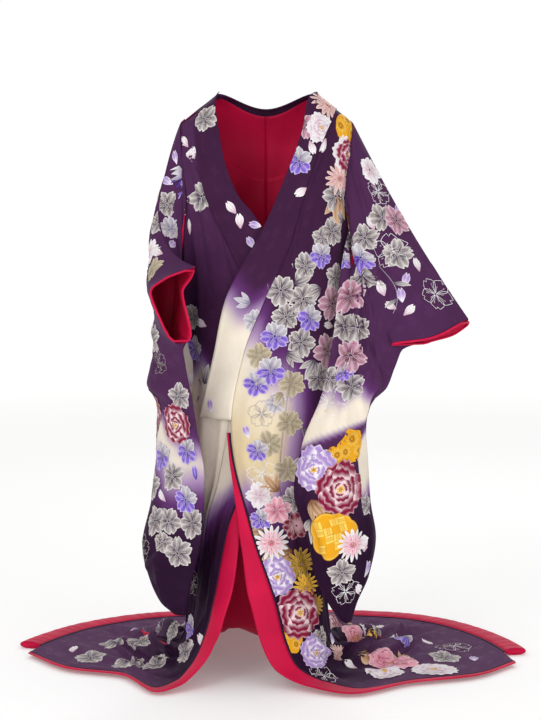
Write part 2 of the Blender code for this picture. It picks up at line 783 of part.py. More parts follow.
def cuff_lining(side, walls, end):
    """Crimson facing on the inside of each wall of the cuff."""
    for piece, wall in (("cuff_lining_front", 1), ("cuff_lining_back", -1)):
        rows = []
        for row in walls[wall][2:end]:
            rows.append(row[-4:-1] + [between(row[-2], row[-1], 0.93)])
        rows = layer_on(rows, -CUFF_LAYER_GAP * side * wall)
        cloth(side_name(piece, side), rows, "crimson_lining")


def cuff_roll(side, walls, end):
    """The thin crimson roll round the cuff's opening."""
    loop = []
    for wall, levels in ((1, range(1, end + 1)), (-1, range(end, 0, -1))):
        for i in levels:
            lip, before = walls[wall][i][-1], walls[wall][i][-2]
            loop.append(lip + (lip - before).normalized() * (CUFF_ROLL_RADIUS + SEAM_GAP * 2))
    roll(side_name("cuff_roll", side), loop, CUFF_ROLL_RADIUS, "crimson_lining", closed=True)


def clear_scene():
    for old in list(bpy.data.objects):
        bpy.data.objects.remove(old, do_unlink=True)
    made = bpy.data.collections.new(ROBE)
    bpy.context.scene.collection.children.link(made)


def main():
    clear_scene()
    for side in (LEFT, RIGHT):
        front_panel(side)
        okumi(side)
        back_panel(side)
        collar_front(side)
        lining_back(side)
        front_trim(side)
        hem_trim(side)
        sleeve(side)
    collar_back()


main()
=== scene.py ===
import math
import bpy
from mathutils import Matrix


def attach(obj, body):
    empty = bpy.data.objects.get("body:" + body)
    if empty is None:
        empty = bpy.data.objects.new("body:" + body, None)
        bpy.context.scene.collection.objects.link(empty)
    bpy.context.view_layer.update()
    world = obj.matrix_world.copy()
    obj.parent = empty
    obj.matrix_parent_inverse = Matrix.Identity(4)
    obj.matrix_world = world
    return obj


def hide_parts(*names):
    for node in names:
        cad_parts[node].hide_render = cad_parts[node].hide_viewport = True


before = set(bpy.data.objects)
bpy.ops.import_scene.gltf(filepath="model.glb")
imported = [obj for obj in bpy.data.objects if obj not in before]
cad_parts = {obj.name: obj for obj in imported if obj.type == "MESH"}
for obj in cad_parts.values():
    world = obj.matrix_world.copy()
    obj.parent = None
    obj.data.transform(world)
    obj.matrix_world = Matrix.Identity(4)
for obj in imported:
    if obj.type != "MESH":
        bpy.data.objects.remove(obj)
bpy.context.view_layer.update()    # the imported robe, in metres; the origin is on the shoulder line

from types import SimpleNamespace

import bmesh
import bpy
import numpy as np
from mathutils import Vector
from mathutils.bvhtree import BVHTree

leftSide, rightSide = 1, -1
floorHeight = -1.38

# The robe's cloth in metres: how finely it is modelled, its walls, and where its parts start and
# end along and across it
clothSettings = {
    "cell": 0.0085,
    "wall": 0.0016,
    "liningGap": 0.0034,
    "collarAcross": -0.15,
    "okumiAcross": 0.20,
    "sideAcross": 0.50,
    "okumiStart": 0.335,
    "collarEnd": 0.795,
    "hem": 1.86,
    "napeDrop": 0.085,
    "neckHalfWidth": 0.113,
    "collarSeamAtShoulder": 0.160,
    "shoulderSlope": 0.80,
    "shoulderFade": 0.25,
    "overlapLift": 0.006,
    "armholeEnd": 0.34,
    "armholeOpening": math.radians(16),
    "armholePerFall": 1.5,
    "okumiColumns": 19,
    "frontWidth": 0.42,
    "backWidth": 0.44,
    "liningWall": 0.001,
    "clear": 0.004,
}


def makeTable(text):
    # columns of numbers under their names
    names, *rows = (line.split() for line in text.strip().splitlines())
    return dict(zip(names, (list(map(float, column)) for column in zip(*rows))))


studioSettings = {
    "floor": floorHeight - 0.0012, "lens": 96.45, "distance": 4.57, "height": -0.23, "pitch": 4.98,
    "shift": 0.00625, "skyLight": 0.74, "backdrop": 1.0, "floorGlow": 0.16,
}

# The body's level sections, from the shoulder line down and out along the cloth
sections = makeTable("""
    along drop centre halfWidth front back spread
    0.00 0.000 0.000 0.205 0.000 0.000 0.00
    0.03 0.010 0.000 0.205 0.050 0.042 0.00
    0.08 0.046 0.000 0.204 0.088 0.080 0.00
    0.16 0.120 0.000 0.200 0.118 0.112 0.00
    0.30 0.258 0.000 0.194 0.136 0.132 0.00
    0.52 0.478 0.000 0.180 0.147 0.138 0.00
    0.80 0.760 -0.002 0.168 0.146 0.143 0.00
    1.05 1.010 -0.008 0.163 0.140 0.150 0.00
    1.22 1.180 -0.016 0.160 0.138 0.162 0.00
    1.32 1.275 -0.018 0.164 0.138 0.175 0.02
    1.38 1.328 -0.020 0.168 0.140 0.185 0.09
    1.44 1.358 -0.020 0.172 0.140 0.190 0.20
    1.52 1.368 -0.020 0.175 0.140 0.190 0.37
    1.62 1.370 -0.020 0.175 0.140 0.190 0.57
    1.74 1.370 -0.020 0.175 0.140 0.190 0.79
    1.86 1.370 -0.020 0.175 0.140 0.190 1.00
""")

# The inner border of each front: the collar's seam down to its end, then the free front edge.
frontEdge = {
    leftSide: makeTable("""
        along x y z
        0.00 0.160 0.000 -0.037
        0.08 0.146 -0.060 -0.062
        0.16 0.122 -0.094 -0.120
        0.26 0.090 -0.122 -0.218
        0.40 0.050 -0.141 -0.358
        0.52 -0.005 -0.147 -0.478
        0.65 -0.053 -0.148 -0.610
        0.80 -0.077 -0.147 -0.770
        1.05 -0.030 -0.144 -1.010
        1.22 0.024 -0.142 -1.180
        1.32 0.048 -0.142 -1.278
        1.38 0.080 -0.150 -1.336
        1.44 0.138 -0.172 -1.362
        1.52 0.222 -0.206 -1.370
        1.62 0.345 -0.126 -1.370
        1.74 0.490 -0.070 -1.370
        1.86 0.604 0.055 -1.370
    """),
    rightSide: makeTable("""
        along x y z
        0.00 0.160 0.000 -0.037
        0.08 0.168 -0.046 -0.062
        0.16 0.166 -0.066 -0.120
        0.26 0.150 -0.090 -0.218
        0.40 0.088 -0.128 -0.358
        0.52 0.030 -0.145 -0.478
        0.65 -0.020 -0.147 -0.610
        0.80 -0.028 -0.146 -0.760
        0.93 0.046 -0.136 -0.892
        1.05 0.095 -0.125 -1.010
        1.22 0.129 -0.118 -1.180
        1.32 0.153 -0.118 -1.278
        1.38 0.178 -0.138 -1.334
        1.44 0.209 -0.163 -1.362
        1.52 0.256 -0.196 -1.370
        1.62 0.342 -0.062 -1.370
        1.74 0.470 -0.004 -1.370
        1.86 0.585 0.150 -1.370
    """),
}

# How far across the chest the collar's free edge and the okumi's seam run.
collarEdge = {
    leftSide: makeTable("""
        along x
        0.00 0.113
        0.05 0.093
        0.12 0.081
        0.23 0.045
        0.37 -0.014
        0.43 -0.048
        0.53 -0.092
        0.65 -0.115
        0.80 -0.147
    """),
    rightSide: makeTable("""
        along x
        0.00 0.111
        0.05 0.118
        0.15 0.107
        0.22 0.091
        0.28 0.065
        0.33 0.024
        0.43 -0.030
        0.60 -0.092
        0.80 -0.115
    """),
}
okumiSeam = {
    leftSide: makeTable("""
        along x
        0.00 0.176
        0.16 0.140
        0.37 0.072
        0.52 0.062
        0.70 0.053
        0.94 0.034
        1.05 0.066
        1.22 0.112
        1.38 0.132
        1.86 0.150
    """),
    rightSide: makeTable("""
        along x
        0.00 0.176
        0.16 0.176
        0.37 0.116
        0.52 0.086
        0.70 0.080
        0.94 0.112
        1.05 0.138
        1.22 0.152
        1.38 0.164
        1.86 0.172
    """),
}

# The outline of the train on the floor, from the front corner of each half to the centre back.
trainEdge = {
    leftSide: makeTable("""
        across x y
        0.00 0.604 0.055
        0.10 0.588 0.150
        0.20 0.562 0.248
        0.35 0.500 0.380
        0.50 0.425 0.474
        0.65 0.330 0.530
        0.80 0.190 0.556
        1.00 0.000 0.566
    """),
    rightSide: makeTable("""
        across x y
        0.00 0.585 0.150
        0.10 0.565 0.215
        0.20 0.530 0.290
        0.35 0.465 0.392
        0.50 0.385 0.470
        0.65 0.290 0.525
        0.80 0.165 0.556
        1.00 0.000 0.566
    """),
}

# The largest folds: soft ridges that run down or out along the cloth, raised off its surface.
largeFolds = {
    leftSide: makeTable("""
        across width height first last
        0.30 0.050 0.014 0.55 1.30
        0.36 0.060 0.050 1.34 1.66
        0.58 0.070 0.058 1.32 1.62
        0.76 0.070 0.050 1.32 1.72
        0.92 0.060 0.040 1.34 1.76
        0.66 0.060 0.016 0.35 1.30
        0.88 0.060 0.014 0.45 1.32
    """),
    rightSide: makeTable("""
        across width height first last
        0.34 0.050 0.010 0.40 1.25
        0.36 0.060 0.042 1.36 1.66
        0.56 0.070 0.060 1.32 1.64
        0.74 0.070 0.055 1.32 1.70
        0.90 0.060 0.040 1.34 1.76
        0.64 0.060 0.014 0.40 1.30
        0.82 0.060 0.018 0.35 1.32
    """),
}

frontBandWidth = makeTable("""
    along left right
    0.86 0.004 0.004
    0.94 0.012 0.006
    1.02 0.024 0.022
    1.10 0.035 0.044
    1.22 0.058 0.058
    1.34 0.058 0.060
    1.44 0.056 0.056
    1.52 0.048 0.044
    1.62 0.022 0.018
    1.86 0.014 0.014
""")
bandTilt = {leftSide: 0.0, rightSide: 0.22}

# The sleeves: level after level from the fold over the arm down to the bottom seam. Each level
# runs from the body (a), over the arm or elbow (b), to the cuff side (c); hollow is the room inside.
sleeveShape = {
    leftSide: makeTable("""
        fall ax ay az bx by bz cx cy cz hollow
        0.00 0.212 0.000 -0.078 0.325 -0.035 -0.296 0.468 -0.110 -0.523 0.000
        0.04 0.213 -0.002 -0.110 0.320 -0.045 -0.330 0.448 -0.108 -0.540 0.080
        0.10 0.213 -0.004 -0.165 0.308 -0.058 -0.385 0.405 -0.118 -0.562 0.100
        0.20 0.214 -0.010 -0.265 0.284 -0.080 -0.470 0.322 -0.138 -0.580 0.090
        0.28 0.184 -0.074 -0.360 0.256 -0.112 -0.545 0.296 -0.145 -0.632 0.060
        0.36 0.168 -0.108 -0.460 0.238 -0.136 -0.612 0.279 -0.145 -0.678 0.045
        0.44 0.156 -0.140 -0.565 0.210 -0.168 -0.680 0.235 -0.160 -0.722 0.040
        0.52 0.132 -0.182 -0.685 0.180 -0.200 -0.752 0.230 -0.145 -0.778 0.036
        0.60 0.086 -0.206 -0.800 0.150 -0.222 -0.835 0.235 -0.130 -0.842 0.034
        0.70 0.066 -0.212 -0.910 0.150 -0.230 -0.930 0.242 -0.125 -0.945 0.034
        0.80 0.094 -0.205 -1.006 0.172 -0.222 -1.020 0.255 -0.125 -1.032 0.030
        0.90 0.118 -0.192 -1.118 0.178 -0.204 -1.124 0.238 -0.140 -1.120 0.022
        0.96 0.146 -0.180 -1.178 0.182 -0.186 -1.184 0.210 -0.152 -1.182 0.014
        1.00 0.172 -0.170 -1.218 0.186 -0.172 -1.224 0.198 -0.162 -1.220 0.000
    """),
    rightSide: makeTable("""
        fall ax ay az bx by bz cx cy cz hollow
        0.00 0.212 0.000 -0.078 0.250 -0.036 -0.300 0.160 -0.215 -0.398 0.000
        0.05 0.213 0.004 -0.115 0.240 -0.040 -0.340 0.200 -0.208 -0.425 0.056
        0.12 0.213 0.008 -0.180 0.237 -0.046 -0.390 0.226 -0.200 -0.458 0.070
        0.20 0.200 0.006 -0.270 0.235 -0.052 -0.450 0.204 -0.206 -0.532 0.062
        0.25 0.196 -0.004 -0.335 0.237 -0.056 -0.505 0.193 -0.208 -0.568 0.046
        0.32 0.193 -0.012 -0.430 0.243 -0.060 -0.585 0.184 -0.206 -0.625 0.038
        0.39 0.191 -0.016 -0.530 0.254 -0.062 -0.658 0.171 -0.204 -0.692 0.036
        0.47 0.188 -0.018 -0.630 0.234 -0.064 -0.738 0.157 -0.204 -0.778 0.034
        0.57 0.186 -0.018 -0.745 0.240 -0.064 -0.845 0.142 -0.200 -0.880 0.032
        0.67 0.186 -0.018 -0.865 0.253 -0.064 -0.962 0.146 -0.195 -0.988 0.030
        0.77 0.190 -0.020 -0.970 0.276 -0.064 -1.062 0.162 -0.186 -1.080 0.028
        0.87 0.194 -0.024 -1.060 0.264 -0.068 -1.134 0.177 -0.176 -1.146 0.022
        0.95 0.200 -0.018 -1.118 0.244 -0.076 -1.184 0.184 -0.162 -1.188 0.016
        1.00 0.196 -0.040 -1.150 0.224 -0.088 -1.206 0.186 -0.144 -1.212 0.003
    """),
}
cuffEnd = {leftSide: 0.20, rightSide: 0.25}


def shade(code):
    # a colour written as sRGB hex, as linear light
    parts = [int(code[i : i + 2], 16) / 255 for i in (1, 3, 5)]
    return np.array([c / 12.92 if c <= 0.04045 else ((c + 0.055) / 1.055) ** 2.4 for c in parts])


def ease(t):
    t = np.clip(t, 0.0, 1.0)
    return t * t * (3 - 2 * t)


def ramp(low, high, value):
    return ease((value - low) / (high - low))


def mix(a, b, t):
    return a + (b - a) * t


def readColumn(rows, column, at):
    # a smooth curve through the column's values that never overshoots them
    stops = np.array(next(iter(rows.values())))
    values = np.array(rows[column])
    at = np.clip(at, stops[0], stops[-1])
    i = np.clip(np.searchsorted(stops, at, side="right") - 1, 0, len(stops) - 2)
    slopes = np.diff(values) / np.diff(stops)
    before, after = slopes[:-1], slopes[1:]
    total = np.where(before * after > 0, before + after, 1.0)
    tangents = np.concatenate(
        ([slopes[0]], np.where(before * after > 0, 2 * before * after / total, 0.0), [slopes[-1]])
    )
    step = stops[i + 1] - stops[i]
    t = (at - stops[i]) / step
    bend = values[i] * (1 + 2 * t) * (1 - t) ** 2 + values[i + 1] * t * t * (3 - 2 * t)
    return bend + step * t * (1 - t) * (tangents[i] * (1 - t) - tangents[i + 1] * t)


def angleAt(x, along):
    return np.arcsin(np.clip(x / readColumn(sections, "halfWidth", along), -0.999, 0.999))


def sectionAngle(side, across, along):
    # the angle round the body, from the front, of a place across the cloth
    okumiAcross, sideAcross = clothSettings["okumiAcross"], clothSettings["sideAcross"]
    edge = angleAt(readColumn(frontEdge[side], "x", np.minimum(along, 1.32)), along)
    okumi = angleAt(readColumn(okumiSeam[side], "x", along), along)
    okumi = np.maximum(okumi, edge + 0.02)
    collar = angleAt(readColumn(collarEdge[side], "x", along), along)
    onFront = mix(okumi, math.pi / 2, (across - okumiAcross) / (sideAcross - okumiAcross))
    onBack = mix(math.pi / 2, math.pi, (across - sideAcross) / (1 - sideAcross))
    angle = np.where(across < okumiAcross, mix(edge, okumi, across / okumiAcross), onFront)
    angle = np.where(across >= sideAcross, onBack, angle)
    return np.where(across < 0, mix(edge, collar, across / clothSettings["collarAcross"]), angle)


def ovalPoints(side, angle, along):
    halfWidth = readColumn(sections, "halfWidth", along)
    front, back = (readColumn(sections, name, along) for name in ("front", "back"))
    depth = np.where(angle < math.pi / 2, front, back)
    away = halfWidth * np.sin(angle)
    x = readColumn(sections, "centre", along) + side * away
    slope = clothSettings["shoulderSlope"]
    slope = slope * np.maximum(np.abs(away) - clothSettings["neckHalfWidth"], 0)
    fade = 1 - ease(along / clothSettings["shoulderFade"])
    z = -readColumn(sections, "drop", along) - slope * fade
    return np.stack([x, -depth * np.cos(angle), z], -1)


def foldHeight(side, across, along):
    height = np.zeros_like(across)
    for middle, width, tall, first, last in zip(*largeFolds[side].values()):
        reach = (across - middle) / width
        share = np.clip((along - first) / (last - first), 0, 1)
        height += tall * np.exp(-reach * reach) * np.sin(math.pi * share)
    return height


def robePoints(side, across, along):
    # the cloth of one half, from its inner border (across 0) to the centre back (1)
    across, along = np.broadcast_arrays(np.asarray(across, float), np.asarray(along, float))
    angle = sectionAngle(side, across, along)
    points = ovalPoints(side, angle, along)
    spread = readColumn(sections, "spread", along)[..., None]
    share = np.maximum(across, 0)
    outline = trainEdge[side]
    hem = np.stack([side * readColumn(outline, "x", share), readColumn(outline, "y", share)], -1)
    points[..., :2] = mix(points[..., :2], hem, spread)
    border = np.stack([readColumn(frontEdge[side], name, along) for name in "xyz"], -1)
    border[..., 0] *= side
    formula = ovalPoints(side, sectionAngle(side, np.zeros_like(across), along), along)
    corner = np.array([side * outline["x"][0], outline["y"][0]])
    formula[..., :2] = mix(formula[..., :2], corner, spread)
    collarEnd = clothSettings["collarEnd"]
    fade = 1 - ease(share / (clothSettings["okumiAcross"] * 2))
    fade = fade * ease((along - collarEnd) / 0.2) * (along > collarEnd)
    points += (border - formula) * fade[..., None]
    height = foldHeight(side, across, along)
    spread = spread[..., 0]
    standing = 1 - ease((spread - 0.02) / 0.1)
    lift = clothSettings["overlapLift"] * side
    lift = lift * ease((math.radians(85) - angle) / math.radians(25)) * (1 - ease(spread / 0.2))
    outward = np.stack([side * np.sin(angle), -np.cos(angle), np.zeros_like(angle)], -1)
    points += outward * ((height + lift) * standing)[..., None]
    points[..., 2] += height * (1 - standing)
    return points


def armholeShift(across, along):
    opening = 1 - ease((along - clothSettings["armholeEnd"] + 0.06) / 0.12)
    near = ease(1 - np.abs(across - clothSettings["sideAcross"]) / 0.12)
    return clothSettings["armholeOpening"] * opening * near / math.pi


def napeStart():
    turn = clothSettings["collarSeamAtShoulder"] / sections["halfWidth"][0]
    turn = math.pi / 2 - math.asin(turn)
    return clothSettings["sideAcross"] + (1 - clothSettings["sideAcross"]) * turn / (math.pi / 2)


def napeAlong(across):
    return clothSettings["napeDrop"] * ease((across - napeStart()) / (1 - napeStart()))


def okumiBorder(along):
    # the okumi starts as a point at the chest and widens to its full share
    share = mix(0.004, clothSettings["okumiAcross"], ease((along - clothSettings["okumiStart"]) / 0.15))
    return np.where(along > clothSettings["okumiStart"], share, 0.0)


def sheetNormals(points):
    normals = np.cross(np.gradient(points, axis=0), np.gradient(points, axis=1))
    length = np.linalg.norm(normals, axis=-1, keepdims=True)
    return normals / np.maximum(length, 1e-9)


def facing(normals, away):
    # the normals, turned round where they point against away
    return normals * np.sign((normals * away).sum(-1, keepdims=True) + 1e-9)


# Creases on the robe, listed one by one: from one place on the cloth to another, with a soft
# section of that width and height in metres; a height below 0 is a trough.
robeCreases = {
    leftSide: makeTable("""
        across0 along0 across1 along1 width height
        0.50 0.20 0.50 0.62 0.050 0.0120
        0.50 0.50 0.50 1.15 0.045 0.0080
        0.30 0.02 0.38 0.55 0.016 0.0045
        0.24 0.06 0.27 0.70 0.012 -0.0035
        0.42 0.10 0.44 0.80 0.014 0.005
        0.21 0.40 0.21 1.28 0.007 -0.0022
        0.08 0.52 0.05 1.10 0.020 0.0040
        0.13 0.60 0.15 1.22 0.013 -0.0040
        0.26 0.62 0.27 1.34 0.018 0.0060
        0.32 0.75 0.31 1.36 0.013 -0.0055
        0.38 0.90 0.40 1.42 0.018 0.0075
        0.16 1.05 0.22 1.40 0.014 0.0050
        0.10 1.18 0.30 1.46 0.013 -0.0060
        0.05 1.24 0.34 1.52 0.016 0.0090
        0.02 1.36 0.30 1.62 0.012 -0.0060
        0.12 1.42 0.26 1.84 0.018 0.0060
        0.22 1.40 0.42 1.78 0.014 0.0120
        0.30 1.38 0.46 1.86 0.016 -0.0080
        0.44 1.36 0.50 1.84 0.018 0.0130
        0.53 0.20 0.55 1.34 0.020 0.0060
        0.60 0.30 0.62 1.36 0.016 -0.0060
        0.71 0.18 0.74 1.38 0.022 0.0065
        0.80 0.26 0.82 1.34 0.015 -0.0050
        0.94 0.30 0.92 1.40 0.020 0.0060
        0.52 1.34 0.60 1.84 0.018 0.0110
        0.64 1.33 0.68 1.80 0.014 -0.0090
        0.70 1.35 0.80 1.78 0.018 0.0100
        0.84 1.33 0.86 1.84 0.016 0.0090
        0.93 1.36 0.97 1.80 0.014 -0.0070
        0.50 1.30 0.90 1.40 0.022 -0.0080
        0.10 1.33 0.36 1.40 0.013 0.0120
        0.14 1.36 0.40 1.46 0.012 -0.0100
        0.24 1.44 0.48 1.56 0.012 0.0130
        0.34 1.50 0.52 1.66 0.011 -0.0090
        0.18 1.50 0.34 1.70 0.010 0.0070
        0.40 1.58 0.56 1.78 0.014 0.0100
    """),
    rightSide: makeTable("""
        across0 along0 across1 along1 width height
        0.50 0.18 0.50 0.66 0.050 0.0190
        0.50 0.50 0.50 1.20 0.045 0.0140
        0.48 0.95 0.50 1.36 0.050 0.0160
        0.08 0.215 0.27 0.175 0.010 0.0055
        0.05 0.235 0.26 0.190 0.007 -0.0045
        0.34 0.04 0.36 0.62 0.014 0.0060
        0.28 0.10 0.30 0.50 0.010 -0.0040
        0.44 0.12 0.45 0.75 0.014 0.0045
        0.21 0.42 0.21 1.28 0.007 -0.0022
        0.24 0.60 0.20 1.25 0.020 0.0040
        0.30 0.95 0.28 1.34 0.016 -0.0040
        0.38 0.90 0.37 1.38 0.020 0.0055
        0.13 0.95 0.10 1.30 0.016 -0.0025
        0.06 0.92 0.05 1.34 0.012 0.0030
        0.08 1.26 0.32 1.50 0.014 0.0090
        0.03 1.38 0.28 1.66 0.012 -0.0060
        0.10 1.44 0.20 1.84 0.020 0.0050
        0.20 1.38 0.40 1.74 0.014 0.0110
        0.30 1.40 0.44 1.86 0.015 -0.0080
        0.42 1.35 0.50 1.84 0.018 0.0120
        0.54 0.22 0.54 1.34 0.018 -0.0060
        0.61 0.20 0.63 1.38 0.020 0.0070
        0.73 0.30 0.70 1.34 0.015 -0.0060
        0.79 0.16 0.82 1.36 0.021 0.0060
        0.95 0.28 0.94 1.40 0.017 -0.0050
        0.54 1.34 0.62 1.82 0.018 0.0120
        0.63 1.35 0.67 1.86 0.013 -0.0080
        0.74 1.34 0.76 1.80 0.018 0.0110
        0.86 1.36 0.90 1.82 0.016 0.0080
        0.50 1.31 0.90 1.39 0.022 -0.0080
        0.12 1.32 0.38 1.41 0.013 0.0130
        0.16 1.37 0.42 1.47 0.012 -0.0100
        0.26 1.42 0.46 1.58 0.012 0.0130
        0.36 1.48 0.54 1.62 0.011 -0.0090
        0.20 1.54 0.34 1.72 0.010 0.0080
        0.42 1.56 0.58 1.76 0.014 0.0100
    """),
}
clothWidth, clothLength = 0.80, 1.0    # what across 1 and along 1 measure, about


def creaseHeight(creases, u, v, uSize, vSize):
    # the creases' height at places (u, v) on a cloth; uSize and vSize turn them into metres
    height = np.zeros(np.broadcast(u, v).shape)
    for u0, v0, u1, v1, width, tall in zip(*creases.values()):
        ax, ay = (u - u0) * uSize, (v - v0) * vSize
        bx, by = (u1 - u0) * uSize, (v1 - v0) * vSize
        length = math.hypot(bx, by)
        t = (ax * bx + ay * by) / length ** 2
        off = (ax * by - ay * bx) / length + 0.18 * width * np.sin(9 * t + u0 * 40)
        inside = np.clip(t, 0, 1)
        body = np.sin(math.pi * inside) ** 0.6
        breadth = width * (0.75 + 0.5 * inside)
        height += tall * body * np.exp(-((off / breadth) ** 2))
    return height


def ripples(side, u, v):
    # shallow unevenness that keeps satin from looking pressed
    wave = np.sin(31 * u + 9 * v + side) * np.sin(17 * v - 6 * u + 2 * side)
    return 0.0011 * wave + 0.0007 * np.sin(53 * u - 23 * v + 1.3)


def robeSurface(side, across, along):
    # the robe's cloth with its creases
    points = robePoints(side, across, along)
    normals = sheetNormals(points) * side
    height = creaseHeight(robeCreases[side], across, along, clothWidth, clothLength)
    height = height + ripples(side, across, along)
    onFloor = ramp(1.36, 1.50, along)
    height = height * (1 + 0.5 * onFloor)
    keepEdge = ramp(0.0, 0.03, across) * ramp(clothSettings["hem"], 1.80, along)
    height = np.where(across < 0, 0.35 * height, height * np.maximum(keepEdge, 0.15))
    height *= ramp(0.0, 0.05, along) * ramp(1.0, 0.97, across)    # none on the centre back seam
    points = points + normals * height[..., None]
    points[..., 2] = np.maximum(points[..., 2], floorHeight + clothSettings["clear"])
    return points


def addObject(name, data):
    made = bpy.data.objects.new(name, data)
    bpy.context.scene.collection.objects.link(made)
    return made


def gridFaces(rows, columns, keep=None):
    corner = np.arange(rows * columns).reshape(rows, columns)
    quads = np.stack([corner[:-1, :-1], corner[:-1, 1:], corner[1:, 1:], corner[1:, :-1]], -1)
    if keep is not None:
        quads = quads[keep]
    return quads.reshape(-1, 4)


def buildMesh(name, points, faces, materials, colours=None, uv=None):
    mesh = bpy.data.meshes.new(name)
    mesh.from_pydata(points.reshape(-1, 3).tolist(), [], [list(f) for f in faces])
    if colours is not None:
        # the colours, with the painted light and painted shade on the plum included
        layer = mesh.color_attributes.new("dyeAndPaintedLight", "FLOAT_COLOR", "POINT")
        flat = np.ones((len(mesh.vertices), 4))
        flat[:, :3] = colours.reshape(-1, 3)
        layer.data.foreach_set("color", flat.ravel())
    if uv is not None:
        layer = mesh.uv_layers.new(name="cloth")
        index = np.empty(len(mesh.loops), dtype=np.int64)
        mesh.loops.foreach_get("vertex_index", index)
        layer.data.foreach_set("uv", uv.reshape(-1, 2)[index].ravel())
    mesh.polygons.foreach_set("use_smooth", [True] * len(mesh.polygons))
    for material in materials:
        mesh.materials.append(material)
    return mesh


def pointOutwards(mesh):
    work = bmesh.new()
    work.from_mesh(mesh)
    bmesh.ops.recalc_face_normals(work, faces=work.faces)
    work.to_mesh(mesh)
    work.free()


def thicken(made, wall, lined):
    # gives a sheet its wall; a lined one shows its second material inside
    layer = made.modifiers.new("wall", "SOLIDIFY")
    layer.thickness = wall
    layer.offset = 0.0
    if lined:
        layer.material_offset = 1


def enter(made, slot, *nodes):
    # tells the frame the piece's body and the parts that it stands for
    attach(made, "root")
    if nodes:
        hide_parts(*nodes)


# Dyes of the ground, from the shoulders' plum through violet to cream and back to deep plum, and lighter
# and darker plums that are painted light and painted shade
dyesAndPaintedLight = {
    "plum": shade("#3f1f3e"),
    # painted light: a lighter copy of plum for the lit right half and the tops of the sleeves
    "litPlum": shade("#4f2b51"),
    # painted light: a lighter plum for the train, which lies facing up to the lamps
    "litTrainPlum": shade("#563257"),
    # deep plum towards the hem, kept darker as painted shade on the lower robe and sleeve bags
    "shadedDeepPlum": shade("#2a132d"),
    "violet": shade("#62336f"),
    "lavender": shade("#a98bb5"),
    "cream": shade("#f3e8d6"),
    "beige": shade("#e2cda4"),
    "crimson": shade("#c51442"),
    "piping": shade("#22102b"),
}


def bokashi(base, amount, pale):
    # the dyer's soft shading: base, violet, lavender, pale, as amount goes from 0 to 1
    amount = amount[..., None]
    colour = mix(base, dyesAndPaintedLight["violet"], ease(amount / 0.38))
    colour = mix(colour, dyesAndPaintedLight["lavender"], ease((amount - 0.30) / 0.38))
    return mix(colour, pale, ease((amount - 0.58) / 0.42))


def blend(low, high, amount):
    return mix(low, high, amount[..., None])


def robeDyeAndPaintedLight(side, across, along):
    drift = 0.018 * np.sin(23 * across + side) + 0.012 * np.sin(41 * across)
    v = along + drift
    low = ramp(1.00, 1.22, v)
    # painted light: on the lit right half the plum starts lighter at the top and fades to plum further
    # down; the deeper plum below is partly painted shade
    top = dyesAndPaintedLight["litPlum"] if side == rightSide else dyesAndPaintedLight["plum"]
    base = blend(blend(top, dyesAndPaintedLight["plum"], ramp(0.20, 0.60, v)), dyesAndPaintedLight["shadedDeepPlum"], low)
    # painted light: the train lying on the floor is lighter where it faces up to the lamps
    base = blend(base, dyesAndPaintedLight["litTrainPlum"], ramp(1.40, 1.62, v))
    onBack = ramp(0.50, 0.60, across)
    if side == leftSide:
        slanted = v - 0.42 * across
        front = ramp(0.47, 0.72, slanted) * (1 - ramp(0.90, 1.10, v + 0.10 * across))
        front = front * (1 - ramp(0.17, 0.34, across + 0.10 * (v - 0.75)))
    else:
        front = ramp(0.62, 0.74, v) * (1 - ramp(0.84, 1.06, v - 0.50 * across))
        front = front * (1 - ramp(0.44, 0.54, across))
    back = ramp(0.58, 0.74, v) * (1 - ramp(0.92, 1.12, v))
    amount = mix(front, back, onBack)
    golden = ramp(0.66, 0.90, v)
    pale = blend(dyesAndPaintedLight["cream"], dyesAndPaintedLight["beige"], golden * (1 - 0.4 * onBack))
    if side == rightSide:
        pale = blend(pale, dyesAndPaintedLight["cream"], 1 - onBack)
    return bokashi(base, amount, pale)


def dyeCollar(side, across, along):
    v = along + 0.02 * np.sin(30 * across)
    base = np.broadcast_to(dyesAndPaintedLight["plum"], v.shape + (3,))
    amount = ramp(0.44, 0.60, v) if side == leftSide else ramp(0.58, 0.72, v)
    return bokashi(base, amount, dyesAndPaintedLight["cream"])


def sleeveDyeAndPaintedLight(side, wall, over, fall):
    v = fall + 0.012 * np.sin(14 * over)
    # painted light and shade: each sleeve is lighter at the top and darker towards its foot, where the deep
    # plum is partly painted shade
    base = blend(dyesAndPaintedLight["litPlum"], dyesAndPaintedLight["shadedDeepPlum"], ramp(0.50, 0.80, v))
    if side == leftSide:
        line = 0.615 - 0.150 * over
        amount = ramp(line - 0.150, line - 0.040, v) * (1 - ramp(line - 0.020, line + 0.016, fall))
        beyond = ramp(0.50, 0.56, v) * (1 - ramp(0.64, 0.74, v))
        amount = np.where(over > 0.80, beyond, amount)
        if wall < 0:    # the back wall
            amount = ramp(0.46, 0.56, v) * (1 - ramp(0.64, 0.76, v))
    else:
        line = 0.34 + 0.16 * over
        amount = ramp(line - 0.05, line + 0.07, v) * (1 - ramp(0.52, 0.70, v)) * 0.92
    return bokashi(base, amount, dyesAndPaintedLight["cream"])


# Materials

# The woven blossoms: how many, their petals and size, and how they and the threads show
damaskSettings = {"cells": 21.0, "petals": 5, "size": 0.015, "shine": 0.10, "tone": 0.12, "threads": 250.0}

